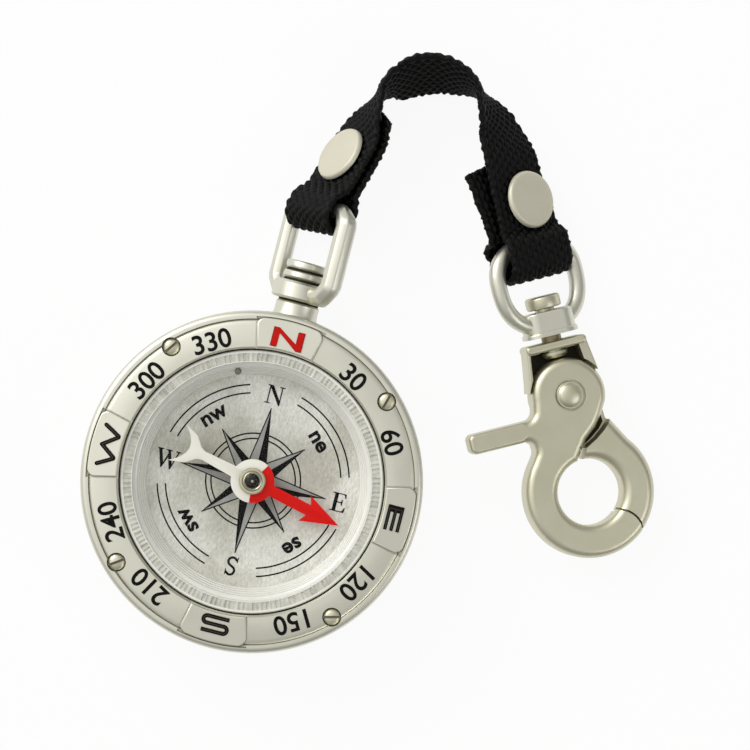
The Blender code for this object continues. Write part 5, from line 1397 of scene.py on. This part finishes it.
cheek += [(0.45, -18.6), (0.6, -21.0), (3.0, -21.0), (6.9, -21.5), (6.75, -20.4), (5.6, -18.6), (4.9, -16.9),
          (4.8, -15.2), (5.0, -12.8), (4.95, -11.0)]
left_wall = [(-4.1, low_v + 0.3), (-4.72, -10.3), (-4.95, -11.4), (-4.3, -11.4), (-3.6, low_v + 0.3)]
right_wall = [(3.0, low_v + 0.3), (3.6, -10.6), (4.93, -10.6), (PLATE_HALF_W + 0.05, low_v + 0.3)]
top_plate = [(c, v + low_v + PLATE_T / 2) for c, v in rounded_box(2 * PLATE_HALF_W, PLATE_T, 0.5, 6)]
pivot_spot = Matrix.Translation((PIVOT[0], PIVOT[1], 0))
head_room = put(round_bar(HEAD_R + GAP, -HALF_T + CHEEK_T, HALF_T + 2, 128), pivot_spot)
walls = [combined(plate(side, -HALF_T + 0.05, HALF_T - 0.4, 0.2), [(head_room.copy(), "DIFFERENCE")])
         for side in (left_wall, right_wall)]
head_room.free()
rounded_jaw = combined(plate(jaw, -HALF_T, HALF_T, RIM_ROUND, 7), [
    (plate(heel_cut, -HALF_T - 1, HALF_T + 1), "DIFFERENCE"),
    (plate(split_cut, -0.05, HALF_T + 1), "DIFFERENCE"),
    (plate(lapped(split_cut), -HALF_T - 1, 0.0), "DIFFERENCE"),
], "MANIFOLD")
body = combined(rounded_jaw, [
    (plate(cheek, -HALF_T + 0.02, -HALF_T + CHEEK_T, 0.25), "UNION"),
    (plate(top_plate, -HALF_T - 0.15, HALF_T + 0.15, 0.4), "UNION"),
    (walls[0], "UNION"), (walls[1], "UNION"),
    (round_bar(POST_R + GAP, low_v - 1, PLATE_TOP_V + 1, 48, True), "DIFFERENCE"),
    (round_bar(POST_FOOT_R + 0.2, low_v - 2, low_v, 48, True), "DIFFERENCE"),
    (put(round_bar(RIVET_R + GAP, -HALF_T - 1, HALF_T), pivot_spot), "DIFFERENCE"),
])
finish_piece("hook_body_casting", put(body, hook_place), SATIN_NICKEL, "hook_body", ["hook_frame"],
             cast=True)

# %% [markdown]
# ## What the hook's hollow shows
# Between the frame's walls the light hardly reaches the back cheek. A thin floor of dark metal lines it as
# painted shade, so that the hollow stays dark.

# %% Hollow between frame and trigger
hollow = [(3.3, low_v - 0.2), (-3.3, low_v - 0.2), (-4.2, -10.7)]
hollow += arc(PIVOT, CHEEK_R - 0.5, math.radians(165), math.radians(270), 24)
hollow += [(0.9, -18.6), (1.1, -19.85), (2.45, -19.1), (3.7, -18.2), (4.4, -17.4), (4.3, -15.2), (4.5, -12.8),
           (4.45, -11.0)]
hollow_floor = -HALF_T + CHEEK_T
# painted shade: a dark skin laid on the back cheek inside the hollow
hollow_shade_skin = plate(hollow, hollow_floor - 0.05, hollow_floor + 0.03)
finish_piece("hook_hollow_shade", put(hollow_shade_skin, hook_place), DEEP_SHADE, "hook_body")

# %% [markdown]
# ## Swivel post
# The hook turns on a post with a round head above the boss and a riveted foot under the frame's top plate.
# A thin sleeve of brass stands for the length between them, where the plate has worn off.

# %% Swivel post
HEAD_SOFT = 0.42
foot = low_v - GAP
foot_end = foot - POST_FOOT_T
post = [(0, foot_end), (POST_FOOT_R - HEAD_SOFT, foot_end), (POST_FOOT_R, foot_end + HEAD_SOFT),
        (POST_FOOT_R, foot), (POST_R, foot), (POST_R, -POST_HEAD_HALF), (POST_HEAD_R - 0.3, -POST_HEAD_HALF),
        (POST_HEAD_R - 0.08, -POST_HEAD_HALF + 0.1), (POST_HEAD_R, -POST_HEAD_HALF + 0.32)]
post += soft_rim(POST_HEAD_R, POST_HEAD_HALF, (0.0, 0.4, 0.8, 1.2, 1.57), HEAD_SOFT) + [(0, POST_HEAD_HALF)]
finish_piece("swivel_post", put(turned(post, 64, True), hook_place), SATIN_NICKEL, "hook_body",
             ["hook_swivel_post"])
sleeve = hoop(POST_R, POST_R + 0.04, PLATE_TOP_V + 0.02, BOSS_END_V - 0.05, 48, True)
finish_piece("post_sleeve", put(sleeve, hook_place), WORN_BRASS, "hook_body")

# %% [markdown]
# ## Trigger
# The trigger is one casting: a round head on the pivot, a jaw and a thumb lever. The head and jaw are a plate
# with wide rounded rims. The lever is a flatter plate with tighter rims, and the two are joined. A room is
# cut in its back for the frame's cheek, with a pocket for the spring.

# %% Trigger
NECK_V, LEVER_TOP_V, LEVER_W, TIP_C, TIP_ROUND = -13.3, -14.75, 2.7, -14.5, 0.8
STUB_C, STUB_ROUND = -10.0, 1.1
lever_low = LEVER_TOP_V - LEVER_W


def lever_end(tip, rounding):
    """The two rounded corners where a bar as wide as the lever ends."""
    return (arc((tip + rounding, LEVER_TOP_V - rounding), rounding, math.pi / 2, math.pi, 8)
            + arc((tip + rounding, lever_low + rounding), rounding, math.pi, 1.5 * math.pi, 8))


outline = arc(PIVOT, HEAD_R, math.radians(-22), math.radians(178), 72)
outline += [(-4.95, NECK_V)]
outline += arc((-6.3, NECK_V - 0.15), 1.3, 0.0, -math.pi / 2, 12)[1:]
outline += lever_end(STUB_C, STUB_ROUND)
outline += arc((-7.3, lever_low - 1.35), 1.35, math.pi / 2, math.radians(-28), 14)
outline += arc(JAW_CENTRE, JAW_R, math.radians(140), 2 * math.pi + SPLIT_ANGLE + PAST, 76)
outline += arc(JAW_CENTRE, JAW_HOLE_R, 2 * math.pi + SPLIT_ANGLE + PAST, math.radians(100), 66)
outline += [(1.1, -19.1), (2.75, -17.75), (3.8, -16.4)]
notch_cut = [(-0.9, -22.2), (-0.35, -21.1), (-0.1, -20.6), (-0.2, -19.8), (0.9, -19.45),
             (4.0, -19.0), (4.0, -22.2)]
split_v = -18.3
floor_t = -HALF_T + CHEEK_T + GAP
SINK, POCKET_R = 0.35, 3.0
room = [(-16, -7), (-16, split_v), (0.05, split_v), (0.05, -22.5), (7, -22.5), (7, -7)]
lever = lever_end(TIP_C, TIP_ROUND)
lever += [(-7.4, lever_low), (-5.4, LEVER_TOP_V - LEVER_W * 0.65), (-5.4, LEVER_TOP_V - LEVER_W * 0.35),
          (-7.0, LEVER_TOP_V)]
trigger = combined(plate(outline, -HALF_T, HALF_T, 1.05, 7), [
    (plate(lever, -HALF_T, HALF_T - 0.01, 0.5, 5), "UNION"),
    (plate(nose_cut, -0.05, HALF_T + 1), "DIFFERENCE"),
    (plate(lapped(nose_cut), -HALF_T - 1, 0.0), "DIFFERENCE"),
    (plate(notch_cut, -HALF_T - 1, HALF_T + 1), "DIFFERENCE"),
    (plate(room, -HALF_T - 1, floor_t), "DIFFERENCE"),
    (put(round_bar(RIVET_R + GAP, -HALF_T, HALF_T + 1), pivot_spot), "DIFFERENCE"),
    (put(round_bar(RIVET_HEAD_R + 0.25, HALF_T - SINK, HALF_T + 1, 64), pivot_spot), "DIFFERENCE"),
    (put(round_bar(POCKET_R, floor_t - 1, floor_t + 2.0, 64), pivot_spot), "DIFFERENCE"),
], "MANIFOLD")
finish_piece("trigger_casting", put(trigger, hook_place), SATIN_NICKEL, "trigger", ["hook_trigger"],
             cast=True)

# %% [markdown]
# ## Pivot rivet
# The trigger turns on a rivet. Its domed head sits in a shallow counterbore on the trigger's face, and its
# other end is spread behind the frame's cheek. It is one turned profile.

# %% Pivot rivet
rivet_seat = HALF_T - SINK + 0.2
rivet = [(0, -HALF_T - 0.85), (1.4, -HALF_T - 0.85), (1.9, -HALF_T - 0.5), (1.9, -HALF_T - 0.25),
         (RIVET_R, -HALF_T - 0.25), (RIVET_R, rivet_seat), (RIVET_HEAD_R, rivet_seat),
         (RIVET_HEAD_R, rivet_seat + 0.22), (1.78, rivet_seat + 0.3), (1.62, rivet_seat + 0.3)]
rivet += domed(1.55, rivet_seat + 0.3, 0.5, (0.1, 0.35, 0.6, 0.85, 1.1, 1.35))
finish_piece("pivot_rivet_head", put(turned(rivet + [(0, rivet_seat + 0.8)], 72), hook_place @ pivot_spot),
             SATIN_NICKEL, "hook_body", ["hook_pivot_rivet"])

# %% [markdown]
# ## Trigger spring
# A torsion spring of steel wire sits in a pocket inside the trigger's head. It is a wire section carried
# along a helix, with two straight legs.

# %% Spring
SPRING_R, WIRE, TURNS, PITCH = 1.9, 0.4, 1.6, 0.84
base = floor_t + 0.1 + WIRE / 2
COIL_STEPS = 48
coil = []
for i in range(COIL_STEPS + 1):
    turn = 2 * math.pi * TURNS * i / COIL_STEPS
    height = base + PITCH * turn / (2 * math.pi)
    coil.append(Vector((SPRING_R * math.cos(turn), SPRING_R * math.sin(turn), height)))
coil.insert(0, coil[0] + Vector((0, -WIRE * 2.5, 0)))
last_way = (coil[-1] - coil[-2]).normalized()
coil.append(coil[-1] + Vector((last_way.x, last_way.y, 0)) * WIRE * 2.5)
wire_frames = []
for i, point in enumerate(coil):
    along = (coil[min(i + 1, len(coil) - 1)] - coil[max(i - 1, 0)]).normalized()
    across = along.cross(Vector((0, 0, 1))).normalized()
    wire_frames.append(placed(across, along.cross(across), along, point))
wire_section = domed(WIRE / 2, 0.0, WIRE / 2, [math.pi * i / 5 for i in range(10)])
spring = put(swept(wire_section, wire_frames, False), hook_place @ pivot_spot)
finish_piece("spring_coil", spring, SPRING_STEEL, "hook_body", ["trigger_spring"])

# %% [markdown]
# ## Table
# The photograph has a white ground, so the floor shows as white to the camera and in reflections, and still
# takes a soft shadow.

# %% Floor
floor_bm = bmesh.new()
bmesh.ops.create_grid(floor_bm, x_segments=1, y_segments=1, size=2000.0)
bmesh.ops.scale(floor_bm, vec=(MM, MM, MM), verts=floor_bm.verts)
table = shown(mesh_from(floor_bm, "table"), "table")
WHITE_SHARE = 0.92  # the rest of the camera's view of the table is lit paper, which shows the shadow
TABLE_WHITE, table_tree, table_shader = new_material("white paper sweep", roughness=0.9)
table_shader.inputs["Base Color"].default_value = colour("EFEFEF")
table_path = add_node(table_tree, "ShaderNodeLightPath")
camera_or_mirror = add_node(table_tree, "ShaderNodeMath", {"operation": "MAXIMUM"},
                            {0: table_path.outputs["Is Camera Ray"], 1: table_path.outputs["Is Glossy Ray"]})
any_view = add_node(table_tree, "ShaderNodeMath", {"operation": "MAXIMUM"},
                    {0: camera_or_mirror.outputs[0], 1: table_path.outputs["Is Transmission Ray"]})
shown_share = add_node(table_tree, "ShaderNodeMath", {"operation": "MULTIPLY", 1: WHITE_SHARE},
                       {0: any_view.outputs[0]})
glow = add_node(table_tree, "ShaderNodeEmission", {"Color": (1, 1, 1, 1), "Strength": 1.0})
table_mix = add_node(table_tree, "ShaderNodeMixShader", {}, {0: shown_share.outputs[0],
                                                             1: table_shader.outputs["BSDF"],
                                                             2: glow.outputs["Emission"]})
table_tree.links.new(table_mix.outputs["Shader"], table_tree.nodes["Material Output"].inputs["Surface"])
table.data.materials.append(TABLE_WHITE)
print("Table ready")

# %% [markdown]
# ## Light
# The light is a pale tent. It is brightest high on the left, and falls off with the angle from there, so
# that surfaces facing right and down turn greyer. The world's colour is a ramp on the cosine of that angle. A
# large soft lamp on the upper left and a weak one on the right add soft edges.

# %% World and lamps
world = bpy.data.worlds.new("pale tent")
bpy.context.scene.world = world
world.use_nodes = True
sky = world.node_tree
direction = add_node(sky, "ShaderNodeTexCoord").outputs["Generated"]
BRIGHTEST = Vector((-0.56, 0.22, 0.80)).normalized()
facing = add_node(sky, "ShaderNodeVectorMath", {"operation": "DOT_PRODUCT", 1: BRIGHTEST}, {0: direction})
tent = add_node(sky, "ShaderNodeValToRGB", {}, {"Fac": facing.outputs["Value"]})
WARMTH = 0.985  # the blue share of the paler parts, for a slightly warm tent
tent.color_ramp.elements[0].color = (0.3, 0.3, 0.295, 1)
tent.color_ramp.elements[1].color = (1.22, 1.22, 1.22, 1)
for position, level in ((0.5, 0.46), (0.66, 0.6), (0.75, 0.76), (0.81, 0.94), (0.91, 1.13)):
    tent.color_ramp.elements.new(position).color = (level, level, level * WARMTH, 1)
sky_path = add_node(sky, "ShaderNodeLightPath")
sky_mix = add_node(sky, "ShaderNodeMix", {"data_type": "RGBA", 7: (1, 1, 1, 1)},
                   {0: sky_path.outputs["Is Camera Ray"], 6: tent.outputs["Color"]})
sky.links.new(sky_mix.outputs[2], sky.nodes["Background"].inputs["Color"])
sky.nodes["Background"].inputs["Strength"].default_value = 1.0


def soft_lamp(name, place_mm, size_mm, watts):
    """A square soft box aimed at the middle of the object."""
    data = bpy.data.lights.new(name, "AREA")
    data.shape = "SQUARE"
    data.size = size_mm * MM
    data.energy = watts
    made = shown(data, name)
    made.location = Vector(place_mm) * MM
    aim = Vector((CAMERA_POINT.x, CAMERA_POINT.y, 0)) * MM - made.location
    made.rotation_euler = aim.to_track_quat("-Z", "Y").to_euler()


soft_lamp("left_softbox", (-520, 330, 430), 420, 2.2)
soft_lamp("right_fill", (520, -60, 420), 300, 0.6)
bpy.context.scene.view_settings.view_transform = "Standard"
print("Light ready")
